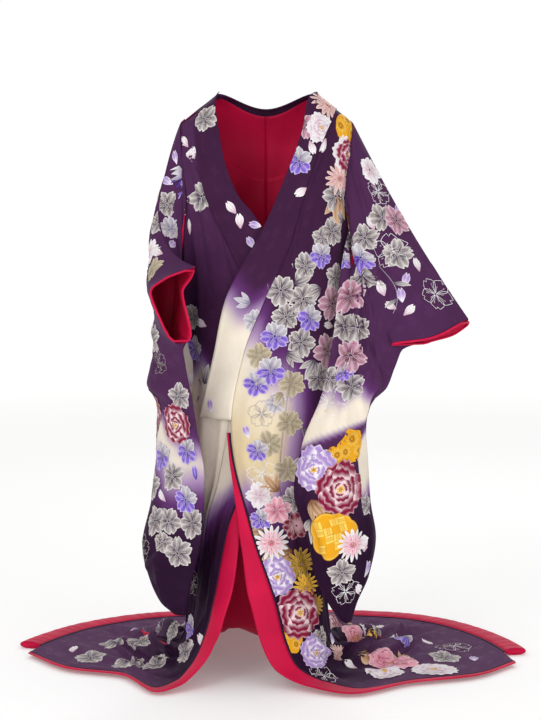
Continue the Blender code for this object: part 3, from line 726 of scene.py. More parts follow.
# What each material sets on its shader
finishes = {
    "plumDamask": {"Roughness": 0.46, "Sheen Weight": 0.03, "Sheen Tint": (0.62, 0.34, 0.72, 1.0),
                   "Specular IOR Level": 0.16, "IOR": 1.20},
    "crimsonSatin": {"Roughness": 0.42, "Sheen Weight": 0.03, "Sheen Tint": (1.0, 0.35, 0.50, 1.0),
                     "Specular IOR Level": 0.30, "IOR": 1.22},
    "pipingCord": {"Roughness": 0.5, "Sheen Weight": 0.05, "Sheen Tint": (0.5, 0.4, 0.6, 1.0),
                   "IOR": 1.25},
    "silkEmbroidery": {"Roughness": 0.45, "Sheen Weight": 0.01, "Sheen Tint": (1.0, 1.0, 1.0, 1.0),
                       "IOR": 1.22},
    "silkKnots": {"Roughness": 0.4, "Sheen Weight": 0.3, "Sheen Tint": (1.0, 0.95, 0.8, 1.0)},
}

# Silks of one colour: the grain's scale and detail, where its two tones lie, the tones themselves
# and how strongly the weave shows
plainSilks = {
    # for the crimson satin the two tones are broad soft streaks: an uneven tone that also stands in for the
    # satin's sheen as painted highlights
    "crimsonSatin": (9.0, 6.0, 0.30, 0.72, dyesAndPaintedLight["crimson"] * 0.82, dyesAndPaintedLight["crimson"] * 1.12, 0.30),
    "pipingCord": (220.0, 2.0, 0.0, 1.0, dyesAndPaintedLight["piping"] * 0.7, dyesAndPaintedLight["piping"] * 1.5, 0.4),
    "silkKnots": (400.0, 2.0, 0.35, 0.65, shade("#b98a2c"), shade("#f3ead0"), 0.4),
}


def nodeMaker(tree):
    # short ways to add and wire a material's nodes
    def node(kind, inputs=None, **settings):
        item = tree.nodes.new(kind)
        for key, value in settings.items():
            setattr(item, key, value)
        for key, value in (inputs or {}).items():
            feed(value, item.inputs[key])
        return item

    def feed(value, socket):
        if hasattr(value, "is_output"):
            tree.links.new(value, socket)
        else:
            socket.default_value = value

    def maths(operation, a, b=None, clamp=False):
        inputs = {0: a} if b is None else {0: a, 1: b}
        return node("ShaderNodeMath", inputs, operation=operation, use_clamp=clamp).outputs[0]

    def noise(place, scale, detail):
        return node("ShaderNodeTexNoise", {"Scale": scale, "Detail": detail, "Vector": place}).outputs[0]

    def toned(colour, tone):
        return node("ShaderNodeVectorMath", {0: colour, "Scale": tone}, operation="SCALE").outputs[0]

    def bump(height, strength, distance):
        inputs = {"Strength": strength, "Distance": distance, "Height": height}
        return node("ShaderNodeBump", inputs).outputs[0]

    return SimpleNamespace(node=node, feed=feed, maths=maths, noise=noise, toned=toned, bump=bump)


def newMaterial(name):
    made = bpy.data.materials.new(name)
    made.use_nodes = True
    shader = made.node_tree.nodes["Principled BSDF"]
    make = nodeMaker(made.node_tree)
    for key, value in ({"Sheen Roughness": 0.45} | finishes[name]).items():
        make.feed(value, shader.inputs[key])
    return made, shader.inputs, make


def damaskMask(make, uv):
    # scattered five-petalled blossoms woven into the ground, each turned its own way
    spacing = {"Scale": damaskSettings["cells"], "Randomness": 0.8, "Vector": uv}
    cells = make.node("ShaderNodeTexVoronoi", spacing, voronoi_dimensions="2D", feature="F1")
    ends = {0: uv, 1: cells.outputs["Position"]}
    local = make.node("ShaderNodeVectorMath", ends, operation="SUBTRACT").outputs[0]
    x, y = list(make.node("ShaderNodeSeparateXYZ", {0: local}).outputs)[:2]
    turn = make.node("ShaderNodeSeparateColor", {0: cells.outputs["Color"]}).outputs[0]
    angle = make.maths("ADD", make.maths("ARCTAN2", y, x), make.maths("MULTIPLY", turn, math.tau))
    lobe = make.maths("COSINE", make.maths("MULTIPLY", angle, damaskSettings["petals"] / 2))
    lobe = make.maths("ADD", make.maths("MULTIPLY", make.maths("ABSOLUTE", lobe), 0.6), 0.4)
    length = make.node("ShaderNodeVectorMath", {0: local}, operation="LENGTH").outputs["Value"]
    inside = make.maths("SUBTRACT", make.maths("MULTIPLY", lobe, damaskSettings["size"]), length)
    return make.maths("MULTIPLY", inside, 900.0, clamp=True)


def weaveBump(make, place, strength, extra=None):
    # fine crossing threads, over a soft unevenness of the cloth
    threads = make.node("ShaderNodeTexWave", {"Scale": damaskSettings["threads"], "Vector": place},
                        wave_type="BANDS", bands_direction="DIAGONAL")
    height = make.maths("MULTIPLY", threads.outputs[1], 0.25)
    height = make.maths("ADD", height, make.noise(place, 60.0, 4.0))
    if extra is not None:
        height = make.maths("ADD", height, extra)
    return make.bump(height, strength, 0.0006)


def plumDamask():
    made, shader, make = newMaterial("plumDamask")
    uv = make.node("ShaderNodeUVMap", uv_map="cloth").outputs[0]
    # the cloth's colours, painted light and painted shade on the plum included
    dyeAndPaintedLight = make.node("ShaderNodeAttribute", attribute_name="dyeAndPaintedLight")
    depth = make.maths("SUBTRACT", 1.0, make.maths("MULTIPLY", dyeAndPaintedLight.outputs["Fac"], 3.0), clamp=True)
    mask = make.maths("MULTIPLY", damaskMask(make, uv), depth)    # the damask is hardly seen on pale cloth
    tone = make.maths("ADD", make.maths("MULTIPLY", mask, damaskSettings["tone"]), 0.90)
    cloudy = make.maths("MULTIPLY", make.maths("SUBTRACT", make.noise(uv, 14.0, 5.0), 0.5), 0.30)
    make.feed(make.toned(dyeAndPaintedLight.outputs["Color"], make.maths("ADD", tone, cloudy)), shader["Base Color"])
    shine = make.maths("MULTIPLY", mask, damaskSettings["shine"])
    make.feed(make.maths("SUBTRACT", 0.56, shine), shader["Roughness"])
    make.feed(weaveBump(make, uv, 0.35, make.maths("MULTIPLY", mask, 0.8)), shader["Normal"])
    return made


def plainSilk(name):
    scale, detail, first, last, low, high, weave = plainSilks[name]
    made, shader, make = newMaterial(name)
    place = make.node("ShaderNodeTexCoord").outputs["Object"]
    tones = make.node("ShaderNodeValToRGB", {0: make.noise(place, scale, detail)})
    for stop, at, colour in zip(tones.color_ramp.elements, (first, last), (low, high)):
        stop.position = at
        stop.color = (*colour, 1)
    make.feed(tones.outputs[0], shader["Base Color"])
    make.feed(weaveBump(make, place, weave), shader["Normal"])
    return made


def silkEmbroidery():
    made, shader, make = newMaterial("silkEmbroidery")
    dyeAndPaintedLight = make.node("ShaderNodeAttribute", attribute_name="dyeAndPaintedLight").outputs["Color"]
    uv = make.node("ShaderNodeUVMap", uv_map="cloth").outputs[0]
    stitches = make.node("ShaderNodeTexWave", {"Scale": 5.0, "Distortion": 1.5, "Vector": uv},
                         wave_type="BANDS", bands_direction="X").outputs[1]
    tone = make.maths("ADD", make.maths("MULTIPLY", stitches, 0.26), 0.86)
    make.feed(make.toned(dyeAndPaintedLight, tone), shader["Base Color"])
    make.feed(make.bump(stitches, 0.5, 0.0004), shader["Normal"])
    return made


damask, crimson, knotSilk = plumDamask(), plainSilk("crimsonSatin"), plainSilk("silkKnots")
piping, embroidery = plainSilk("pipingCord"), silkEmbroidery()
print("materials made")


# The robe's panels

sideNames = {leftSide: "Left", rightSide: "Right"}
targets = {}    # the surfaces that embroidery is laid on, by name


def steps(first, last, size):
    # places from first to last, about size apart
    return np.linspace(first, last, max(int(round((last - first) / size)), 2) + 1)


def nodeName(stem, side):
    return stem + "_" + sideNames[side].lower()


def layTarget(name, points, normals):
    faces = gridFaces(*points.shape[:2]).tolist()
    tree = BVHTree.FromPolygons(points.reshape(-1, 3).tolist(), faces)
    targets[name] = {"points": points, "normals": normals, "tree": tree}


def sheetPiece(part, side, mesh, wall, slot, nodes, lined=False):
    made = addObject(part + sideNames[side], mesh)
    thicken(made, wall, lined)
    enter(made, slot, *nodes)


def panel(part, side, across, along, points, colours):
    # one cut piece of the robe as a thin wall of cloth, plum outside and crimson inside
    across, along = np.broadcast_arrays(across, along)
    uv = np.stack([across * clothWidth + 0.31 * side, -along * clothLength], -1)
    faces = gridFaces(*points.shape[:2])[:, ::-side]    # both halves face outwards
    name = part + sideNames[side]
    mesh = buildMesh(name, points, faces, (damask, damask if part == "collar" else crimson), colours, uv)
    layTarget(name, points, sheetNormals(points) * side)
    sheetPiece(part, side, mesh, clothSettings["wall"], "plum_satin", [nodeName(part, side)], lined=True)


def frontPanel(side):
    along = steps(0.0, clothSettings["hem"], clothSettings["cell"])[:, None]
    share = steps(0.0, 1.0, clothSettings["cell"] / clothSettings["frontWidth"])[None, :]
    across = mix(okumiBorder(along), clothSettings["sideAcross"], share)
    across = across - armholeShift(across, along)
    along = along + 0 * across
    panel("front", side, across, along, robeSurface(side, across, along), robeDyeAndPaintedLight(side, across, along))


def okumiPanel(side):
    along = steps(clothSettings["okumiStart"] + 0.008, clothSettings["hem"], clothSettings["cell"])[:, None]
    across = okumiBorder(along) * np.linspace(0.0, 1.0, clothSettings["okumiColumns"])[None, :]
    along = along + 0 * across
    panel("okumi", side, across, along, robeSurface(side, across, along), robeDyeAndPaintedLight(side, across, along))


def backGrid(side, level, share):
    across = mix(clothSettings["sideAcross"], 1.0, share)
    top = napeAlong(across)
    along = top + level * (clothSettings["hem"] - top) / clothSettings["hem"]
    return across + armholeShift(across, along), along


def backPanel(side):
    level = steps(0.0, clothSettings["hem"], clothSettings["cell"])[:, None]
    share = steps(0.0, 1.0, clothSettings["cell"] / clothSettings["backWidth"])[None, :]
    across, along = backGrid(side, level, share)
    points = robeSurface(side, across, along)
    seam = along[:, -1]    # the two backs meet halfway between their edges
    edges = [robeSurface(half, 1 + 0 * seam, seam) for half in (leftSide, rightSide)]
    points[:, -1] = (edges[0] + edges[1]) / 2
    panel("back", side, across, along, points, robeDyeAndPaintedLight(side, across, along))


collarSettings = {"lap": 0.004, "lift": 0.0016, "freeRoll": 0.0035, "seamRoll": 0.0008, "columns": 15}


def collarPanel(side):
    # laps over its seam, with a soft roll along its free edge
    along = steps(0.0, clothSettings["collarEnd"], clothSettings["cell"] * 0.8)[:, None]
    share = np.linspace(0.0, 1.0, collarSettings["columns"])[None, :]
    across = mix(clothSettings["collarAcross"], collarSettings["lap"], share) + 0 * along
    along = along + 0 * across
    points = robeSurface(side, across, along)
    roll = collarSettings["freeRoll"] * np.exp(-((share / 0.10) ** 2))
    roll = roll + collarSettings["seamRoll"] * np.exp(-(((share - 1) / 0.12) ** 2))
    points = points + sheetNormals(points) * side * (roll + collarSettings["lift"])[..., None]
    panel("collar", side, across, along, points, dyeCollar(side, across, along))


# The collar behind the neck, in metres; pull and back narrow and shift its free edge
napeSettings = {
    "gap": 0.0036, "lap": 0.006, "freeHeight": -0.034, "pull": 0.113 / 0.160, "back": 0.75,
    "first": 0.7143, "roll": 0.004, "columns": 25, "rows": 9,
}


def collarBack():
    # the middle of the collar, standing behind the neck
    across = np.linspace(napeSettings["first"], 1.0, napeSettings["columns"])
    halves = [robePoints(side, across, napeAlong(across)) for side in (rightSide, leftSide)]
    path = np.concatenate([halves[0], halves[1][-2::-1]])
    share = ease(1 - np.abs(np.linspace(-1, 1, len(path))))
    free = path * np.array([napeSettings["pull"], napeSettings["back"], 0])
    free[:, 2] = napeSettings["freeHeight"] * share
    way = free - path
    start = path - way / np.linalg.norm(way, axis=1, keepdims=True) * napeSettings["lap"]
    t = np.linspace(0, 1, napeSettings["rows"])[:, None, None]
    points = start + (free - start) * t + np.array([0, napeSettings["gap"], 0])
    points[..., 1] += napeSettings["roll"] * np.sin(math.pi * t[..., 0]) * share
    colours = np.broadcast_to(dyesAndPaintedLight["plum"], points.shape)
    uv = np.stack(np.broadcast_arrays(points[..., 0], t[..., 0] * 0.05), -1)
    mesh = buildMesh("collarBack", points, gridFaces(*points.shape[:2]), (damask, damask), colours, uv)
    made = addObject("collarBack", mesh)
    thicken(made, clothSettings["wall"], lined=True)
    enter(made, "plum_satin", "collar_back")


def crimsonSheet(part, side, points, node, wall):
    # a lining, a facing or an edge band
    mesh = buildMesh(part + sideNames[side], points, gridFaces(*points.shape[:2]), (crimson,))
    sheetPiece(part, side, mesh, wall, "crimson_lining", [nodeName(node, side)])


# Where the lining lies on the back, how finely it is modelled and how it puckers, in metres
liningSettings = {
    "top": 0.16, "foot": 1.36, "inner": 0.13, "outer": 0.998, "cellGrowth": 1.4, "columns": 40,
    "rest": 0.001, "pucker": 0.0010,
}


def liningBack(side):
    cell = clothSettings["cell"] * liningSettings["cellGrowth"]
    level = steps(liningSettings["top"], liningSettings["foot"], cell)
    share = np.linspace(liningSettings["inner"], liningSettings["outer"], liningSettings["columns"])
    across, along = backGrid(side, level[:, None], share[None, :])
    points = robeSurface(side, across, along)
    points = points - sheetNormals(points) * side * clothSettings["liningGap"]
    puckers = liningSettings["pucker"] * np.sin(along * 60 + across * 9) * np.sin(across * 34)
    points = points - sheetNormals(points) * side * (liningSettings["rest"] + puckers)[..., None]
    crimsonSheet("lining", side, points, "lining", clothSettings["liningWall"])


# The piping and the lining rolled out along the front edges, in metres
edgeSettings = {
    "pipingRadius": 0.0026, "sides": 10, "gap": 0.0009,
    "bandWall": 0.0024, "swell": 0.004, "bandColumns": 9, "clear": 0.003,
}


def edgeDirection(side, along):
    out = robePoints(side, 0.0 * along, along) - robePoints(side, 0.03 + 0 * along, along)
    return out / np.linalg.norm(out, axis=-1, keepdims=True)


def frontTrim(side):
    # the dark piping and the crimson lining rolled out beyond the front edge
    along = steps(clothSettings["collarEnd"] + 0.03, clothSettings["hem"], clothSettings["cell"] * 0.8)
    border = robeSurface(side, np.stack([0 * along, 0 * along + 0.01], 1), np.stack([along] * 2, 1))[:, 0]
    out = edgeDirection(side, along)
    width = readColumn(frontBandWidth, "left" if side == leftSide else "right", along)[:, None, None]
    t = np.linspace(0, 1, edgeSettings["bandColumns"])[None, :, None]
    radius = edgeSettings["pipingRadius"]
    places = border[:, None, :] + out[:, None, :] * (radius * 2 + width * t)
    places[..., 1] += (bandTilt[side] * width * t)[..., 0]
    normals = sheetNormals(places)
    normals = normals * np.sign((normals * np.array([0, -1, 0.35])).sum(-1, keepdims=True))
    swell = edgeSettings["swell"] * np.sin(math.pi * t ** 0.8) * np.minimum(width / 0.05, 1)
    soft = 0.0012 * np.sin(along * 37 + side)[:, None, None] * np.sin(math.pi * t)
    places = places + normals * (swell * 0.6 + soft)
    places[..., 2] = np.maximum(places[..., 2], floorHeight + edgeSettings["clear"])
    crimsonSheet("frontBand", side, places, "front_band", edgeSettings["bandWall"])
    path = border + out * (edgeSettings["gap"] + radius * 0.8)
    tube("frontPiping", side, path, radius, piping, "black_piping", "front_piping")


def newTree(name, sizes, kinds):
    # a node tree that takes geometry and the named inputs; gives it, its nodes and its inputs
    tree = bpy.data.node_groups.new(name, "GeometryNodeTree")
    tree.is_modifier = True
    socket = tree.interface.new_socket
    socket("Geometry", in_out="INPUT", socket_type="NodeSocketGeometry")
    inputs = {}
    for label, kind in (sizes | {"Finish": "Material"}).items():
        inputs[label] = socket(label, in_out="INPUT", socket_type="NodeSocket" + kind).identifier
    socket("Geometry", in_out="OUTPUT", socket_type="NodeSocketGeometry")
    ends = {"real": "GeometryNodeRealizeInstances", "paint": "GeometryNodeSetMaterial",
            "start": "NodeGroupInput", "end": "NodeGroupOutput"}
    nodes = {label: tree.nodes.new(kind) for label, kind in (kinds | ends).items()}
    return tree, nodes, inputs


def joinNodes(tree, nodes, rows):
    # rows of: from which node, its output, to which node, its input
    rows += (("real", "Geometry", "paint", "Geometry"), ("start", "Finish", "paint", "Material"),
             ("paint", "Geometry", "end", "Geometry"))
    for source, output, target, entry in rows:
        tree.links.new(nodes[source].outputs[output], nodes[target].inputs[entry])


def rollTree():
    # a roll along a path: one tree serves every piping and cuff
    tree, nodes, inputs = newTree("rollAlongPath", {"Radius": "Float", "Sides": "Int"}, {
        "curve": "GeometryNodeMeshToCurve", "ring": "GeometryNodeCurvePrimitiveCircle",
        "sweep": "GeometryNodeCurveToMesh", "smooth": "GeometryNodeSetShadeSmooth",
    })
    nodes["sweep"].inputs["Fill Caps"].default_value = True
    joinNodes(tree, nodes, (
        ("start", "Geometry", "curve", "Mesh"), ("start", "Radius", "ring", "Radius"),
        ("start", "Sides", "ring", "Resolution"), ("curve", "Curve", "sweep", "Curve"),
        ("ring", "Curve", "sweep", "Profile Curve"), ("sweep", "Mesh", "smooth", "Geometry"),
        ("smooth", "Geometry", "real", "Geometry"),
    ))
    return tree, inputs


rollNodes = rollTree()


def grow(name, points, edges, nodes, material, values):
    # runs a node tree on a guide and keeps what it makes as a plain mesh at the origin
    tree, inputs = nodes
    guide = bpy.data.meshes.new(name + "Guide")
    guide.from_pydata([tuple(p) for p in points], edges, [])
    holder = addObject(name + "Guide", guide)
    grown = holder.modifiers.new("grown", "NODES")
    grown.node_group = tree
    for label, value in (values | {"Finish": material}).items():
        grown[inputs[label]] = value
    bpy.context.view_layer.update()
    graph = bpy.context.evaluated_depsgraph_get()
    mesh = bpy.data.meshes.new_from_object(holder.evaluated_get(graph))
    bpy.data.objects.remove(holder, do_unlink=True)
    mesh.materials.clear()
    mesh.materials.append(material)
    pointOutwards(mesh)
    return addObject(name, mesh)


def tube(part, side, points, radius, material, slot, node, closed=False):
    count = len(points)
    edges = [(i, i + 1) for i in range(count - 1)] + ([(count - 1, 0)] if closed else [])
    sizes = {"Radius": radius, "Sides": edgeSettings["sides"]}
    made = grow(part + sideNames[side], points, edges, rollNodes, material, sizes)
    enter(made, slot, nodeName(node, side))


# The padded roll along the hem, in metres
hemSettings = {
    "width": 0.058, "height": 0.016, "rings": 170, "ring": 16, "clear": 0.0006, "first": 0.10,
    "last": 0.9993, "narrowest": 0.35, "swells": 0.12, "pucker": 0.10, "fill": 0.7,
}


def hemTrim(side):
    # the piping along the hem and the padded crimson roll beyond it
    across = np.linspace(hemSettings["first"], hemSettings["last"], hemSettings["rings"])
    hem = clothSettings["hem"] + 0 * across
    border, inner = robePoints(side, across, hem), robePoints(side, across, hem - 0.06)
    track = np.gradient(border, axis=0)
    track /= np.linalg.norm(track, axis=1, keepdims=True)
    out = (border - inner) * np.array([1, 1, 0])
    out -= track * (out * track).sum(1, keepdims=True)
    out[:, 0] *= ramp(1.0, 0.97, across)    # straight back where the two sides meet
    out /= np.linalg.norm(out, axis=1, keepdims=True)
    radius, gap = edgeSettings["pipingRadius"], edgeSettings["gap"]
    tube("hemPiping", side, border + out * (gap + radius), radius, piping, "black_piping", "hem_piping")
    narrowest = hemSettings["narrowest"]
    taper = (narrowest + (1 - narrowest) * ease(across / hemSettings["swells"]))[:, None]
    width, height = hemSettings["width"] * taper / 2, hemSettings["height"] / 2
    middle = border + out * (radius * 2 + gap * 2 + width)
    middle[:, 2] = floorHeight + height + hemSettings["clear"]
    turn = np.arange(hemSettings["ring"]) * math.tau / hemSettings["ring"]
    gathers = np.sin(across * 150 + 2 * np.sin(across * 40))[:, None] * np.sin(turn)[None, :] ** 2
    wide = (np.abs(np.cos(turn)) ** 0.8 * np.sign(np.cos(turn)))[None, :, None]
    tall = (np.abs(np.sin(turn)) ** 0.9 * np.sign(np.sin(turn)))[None, :] * height
    points = middle[:, None, :] + out[:, None, :] * wide * width[:, None]
    points[..., 2] += tall * (1 + hemSettings["pucker"] * gathers)
    corner = np.arange(points.shape[0] * points.shape[1]).reshape(points.shape[:2])
    after = np.roll(corner, -1, axis=1)
    faces = np.stack([corner[:-1], after[:-1], after[1:], corner[1:]], -1).reshape(-1, 4).tolist()
    faces += [corner[0].tolist(), corner[-1][::-1].tolist()]
    mesh = buildMesh("hemRoll" + sideNames[side], points, faces, (crimson,))
    pointOutwards(mesh)
    made = addObject("hemRoll" + sideNames[side], mesh)
    enter(made, "crimson_lining", nodeName("hem_band", side))


# The sleeves

# The sleeves and their cuffs, in metres
sleeveSettings = {
    "seam": 0.0020, "lap": 0.036, "lift": 0.0032, "cell": 0.0085, "width": 0.34, "depth": 1.06,
    "wall": 0.0012, "cuffRoll": 0.0026, "cuffRollOut": 0.0022, "facingIn": 0.0022, "facingShare": 0.42,
}

# The right sleeve's inner fold, which laps in front of the body
innerFold = {"fall": 0.47, "reach": 0.08, "move": (0.022, -0.012, 0)}

sleeveCreases = {
    (leftSide, 1): makeTable("""
        over0 fall0 over1 fall1 width height
        0.12 0.13 0.15 0.54 0.014 -0.0120
        0.27 0.11 0.30 0.54 0.017 0.0110
        0.42 0.16 0.46 0.50 0.013 -0.0070
        0.02 0.06 0.95 0.13 0.020 0.0070
        0.05 0.12 0.80 0.17 0.014 -0.0060
        0.02 0.20 0.60 0.24 0.014 0.0060
        0.10 0.26 0.95 0.34 0.014 -0.0055
        0.20 0.30 0.75 0.50 0.013 0.0060
        0.08 0.34 0.45 0.56 0.012 -0.0050
        0.60 0.26 0.92 0.44 0.012 0.0050
        -0.05 0.625 0.86 0.495 0.007 0.0080
        -0.05 0.645 0.86 0.515 0.006 -0.0050
        0.76 0.52 0.78 0.99 0.007 0.0090
        0.82 0.52 0.83 0.97 0.008 -0.0080
        0.92 0.56 0.90 0.96 0.010 0.0060
        0.24 0.64 0.30 0.95 0.020 0.0050
        0.50 0.62 0.48 0.96 0.016 -0.0040
        0.62 0.60 0.60 0.90 0.014 0.0040
        0.10 0.66 0.22 0.92 0.012 -0.0050
    """),
    (leftSide, -1): makeTable("""
        over0 fall0 over1 fall1 width height
        0.04 0.05 0.95 0.12 0.020 0.0060
        0.05 0.15 0.70 0.20 0.014 -0.0050
        0.10 0.28 0.85 0.42 0.015 0.0070
        0.20 0.34 0.60 0.60 0.013 -0.0060
        0.30 0.55 0.34 0.96 0.018 0.0070
        0.55 0.50 0.58 0.95 0.014 -0.0060
        0.78 0.56 0.76 0.94 0.014 0.0070
    """),
    (rightSide, 1): makeTable("""
        over0 fall0 over1 fall1 width height
        0.20 0.60 0.55 0.92 0.020 0.0080
        0.55 0.46 0.80 0.72 0.018 0.0070
        0.20 0.10 0.92 0.16 0.013 0.0040
        0.45 0.32 0.40 0.95 0.018 0.0050
        0.70 0.30 0.66 0.90 0.014 -0.0045
        0.85 0.42 0.84 0.96 0.012 0.0040
    """),
    (rightSide, -1): makeTable("""
        over0 fall0 over1 fall1 width height
        0.10 0.05 0.50 0.10 0.016 0.0060
        0.25 0.12 0.62 0.10 0.012 -0.0060
        0.35 0.17 0.85 0.13 0.014 0.0070
        0.45 0.22 0.92 0.18 0.012 -0.0060
        0.30 0.30 0.98 0.26 0.014 0.0080
        0.35 0.37 1.02 0.315 0.012 -0.0100
        0.30 0.41 1.02 0.38 0.016 0.0100
        0.40 0.60 1.02 0.475 0.012 -0.0060
        0.45 0.68 0.98 0.56 0.014 0.0060
        0.60 0.80 0.98 0.64 0.012 -0.0070
        0.50 0.84 0.95 0.72 0.015 0.0060
        0.78 0.62 0.74 0.94 0.014 0.0060
        0.60 0.88 0.92 0.90 0.014 -0.0050
        0.20 0.42 0.24 0.95 0.018 0.0060
        0.08 0.36 0.12 0.88 0.014 -0.0050
    """),
}


def sleeveMiddle(side, over, fall):
    # a curve through the body, arm and cuff places of each level
    over, fall = np.broadcast_arrays(np.asarray(over, float), np.asarray(fall, float))
    total = np.zeros(over.shape + (3,))
    weights = (2 * (over - 0.5) * (over - 1), 4 * over * (1 - over), 2 * over * (over - 0.5))
    for letter, weight in zip("abc", weights):
        corner = np.stack([readColumn(sleeveShape[side], letter + name, fall) for name in "xyz"], -1)
        total += corner * np.array([side, 1, 1]) * weight[..., None]
    return total


def sleeveOutward(side, over, fall):
    step = 0.02
    track = sleeveMiddle(side, np.minimum(over + step, 1), fall)
    track = track - sleeveMiddle(side, np.maximum(over - step, 0), fall)
    out = np.stack([track[..., 1], -track[..., 0], 0 * track[..., 0]], -1) * side
    return out / np.linalg.norm(out, axis=-1, keepdims=True)


def seamLine(side, wall, fall):
    # where a sleeve's wall is sewn on, lapping a little over the body's edge
    along = fall * clothSettings["armholePerFall"]
    middle = clothSettings["sideAcross"] + 0 * along
    middle = middle - wall * (armholeShift(middle, along) + sleeveSettings["lap"])
    across = middle[:, None] + np.array([-0.01, 0.0, 0.01])
    points = robeSurface(side, across, along[:, None] + 0 * across)
    return (points + sheetNormals(points) * side * sleeveSettings["lift"])[:, 1]


def sleeveWall(side, wall, over, fall):
    # the front (1) or back (-1) wall of a sleeve, sewn to the body near the shoulder
    hollow = readColumn(sleeveShape[side], "hollow", fall)
    closing = 1 - ease((fall - cuffEnd[side] + 0.02) / 0.05) * ease((over - 0.72) / 0.28)
    closing = closing * (1 - 0.85 * ease((fall - 0.19) / 0.08) * (1 - ease(over / 0.35)))
    room = sleeveSettings["seam"] + np.maximum(hollow * closing, 0)
    outward = sleeveOutward(side, over, fall)
    points = sleeveMiddle(side, over, fall) + outward * (wall * room / 2)[..., None]
    sewn = (1 - ease(over / 0.42)) * (1 - ease((fall - 0.19) / 0.08))
    points = mix(points, seamLine(side, wall, fall[:, 0])[:, None, :], sewn[..., None])
    if side == rightSide:
        away = (fall - innerFold["fall"]) / innerFold["reach"]
        lap = np.exp(-(away ** 2)) * (1 - ease(over / 0.3))
        points = points + lap[..., None] * np.array(innerFold["move"])
    normals = facing(sheetNormals(points), outward * wall)
    width, depth = sleeveSettings["width"], sleeveSettings["depth"]
    height = creaseHeight(sleeveCreases[(side, wall)], over, fall, width, depth)
    height = height + 0.8 * ripples(side * 3 + wall, over * 0.5, fall)
    quiet = ramp(0, 0.03, fall) * ramp(1.0, 0.96, fall) * ramp(0, 0.06, over)
    quiet = quiet * np.where(fall > cuffEnd[side] - 0.02, ramp(1.0, 0.93, over), 1.0)
    return points + normals * (height * quiet)[..., None]


def sleevePiece(side):
    # both walls as one bag: closed over the arm, at the foot and below the cuff, open at body and cuff
    fall = steps(0.0, 1.0, sleeveSettings["cell"] / sleeveSettings["depth"])[:, None]
    over = steps(0.0, 1.0, sleeveSettings["cell"] / sleeveSettings["width"] * 0.9)[None, :]
    fall, over = np.broadcast_arrays(fall, over)
    walls = {wall: sleeveWall(side, wall, over, fall) for wall in (1, -1)}
    points = np.concatenate([walls[1], walls[-1][:, ::-1]], 1)
    colours = [sleeveDyeAndPaintedLight(side, wall, over, fall) for wall in (1, -1)]
    colours = np.concatenate([colours[0], colours[1][:, ::-1]], 1)
    place = np.stack([over * sleeveSettings["width"], -fall * sleeveSettings["depth"]], -1)
    uv = np.concatenate([place, place[:, ::-1] * np.array([-1, 1]) + np.array([1.2, 0.3])], 1)
    rows, columns = points.shape[:2]
    half = columns // 2
    keep = np.ones((rows - 1, columns - 1), bool)
    keep[:, half - 1] = fall[:-1, 0] >= cuffEnd[side]
    faces = gridFaces(rows, columns, keep).tolist()
    for base in (0, (rows - 1) * columns):
        for k in range(half - 1):
            faces.append([base + k, base + columns - 1 - k, base + columns - 2 - k, base + k + 1])
    mesh = buildMesh("sleeve" + sideNames[side], points, faces, (damask, crimson), colours, uv)
    pointOutwards(mesh)
    away = sleeveOutward(side, over, fall)
    for name, wall in (("Front", 1), ("Back", -1)):
        normals = facing(sheetNormals(walls[wall]), away * wall)
        layTarget("sleeve" + name + sideNames[side], walls[wall], normals)
    nodes = [nodeName("sleeve_front", side), nodeName("sleeve_back", side)]
    sheetPiece("sleeve", side, mesh, sleeveSettings["wall"], "plum_satin", nodes, lined=True)
    return walls[1], walls[-1], fall[:, 0]


def cuffTrim(side, front, back, fall):
    # crimson facings inside the cuff and the roll round its opening
    last = int(np.searchsorted(fall, cuffEnd[side]))
    for name, grid in (("Front", front), ("Back", back)):
        part = grid[3:last, -int(grid.shape[1] * sleeveSettings["facingShare"]) :]
        middle = (front + back)[3:last, -part.shape[1] :] / 2
        inwards = facing(sheetNormals(part), middle - part)
        places = part + inwards * sleeveSettings["facingIn"]
        node = "cuff_lining_" + name.lower()
        crimsonSheet("cuffFacing" + name, side, places, node, clothSettings["liningWall"])
    loop = []
    for grid, order in ((front, range(2, last)), (back, range(last - 1, 1, -1))):
        for i in order:
            lip, before = grid[i][-1], grid[i][-3]
            way = lip - before
            loop.append(lip + way / np.linalg.norm(way) * sleeveSettings["cuffRollOut"])
    radius = sleeveSettings["cuffRoll"]
    tube("cuffRoll", side, loop, radius, crimson, "crimson_lining", "cuff_roll", closed=True)


for side, word in sideNames.items():
    frontPanel(side)
    okumiPanel(side)
    backPanel(side)
    collarPanel(side)
    liningBack(side)
    frontTrim(side)
    hemTrim(side)
    print("body", word, "made")
    cuffTrim(side, *sleevePiece(side))
    print("sleeve", word, "made")
collarBack()


# Embroidery: blossoms, petals, peonies, chrysanthemums, leaves and a woven gold cloud, each
# stitched as raised petals that lie on the cloth, its creases included

embroiderySettings = {
    "lift": 0.0011,       # height of the lowest stitches above the cloth's middle
    "ringStep": 0.0006,   # each inner ring of petals lies this much higher
    "petalStep": 0.00022,
    "motifStep": 0.0011,  # a motif of a higher layer lies over one of a lower layer
    "dome": 0.00030,
    "outline": 0.0009,
    "knot": 0.0011,
    "knotSizes": (0.75, 1.25),
    "knotSeed": 7,
    "neighbourGap": 0.010,
    "stray": 0.7,         # how far, in motif radii, cloth may carry a stitch from its place
}

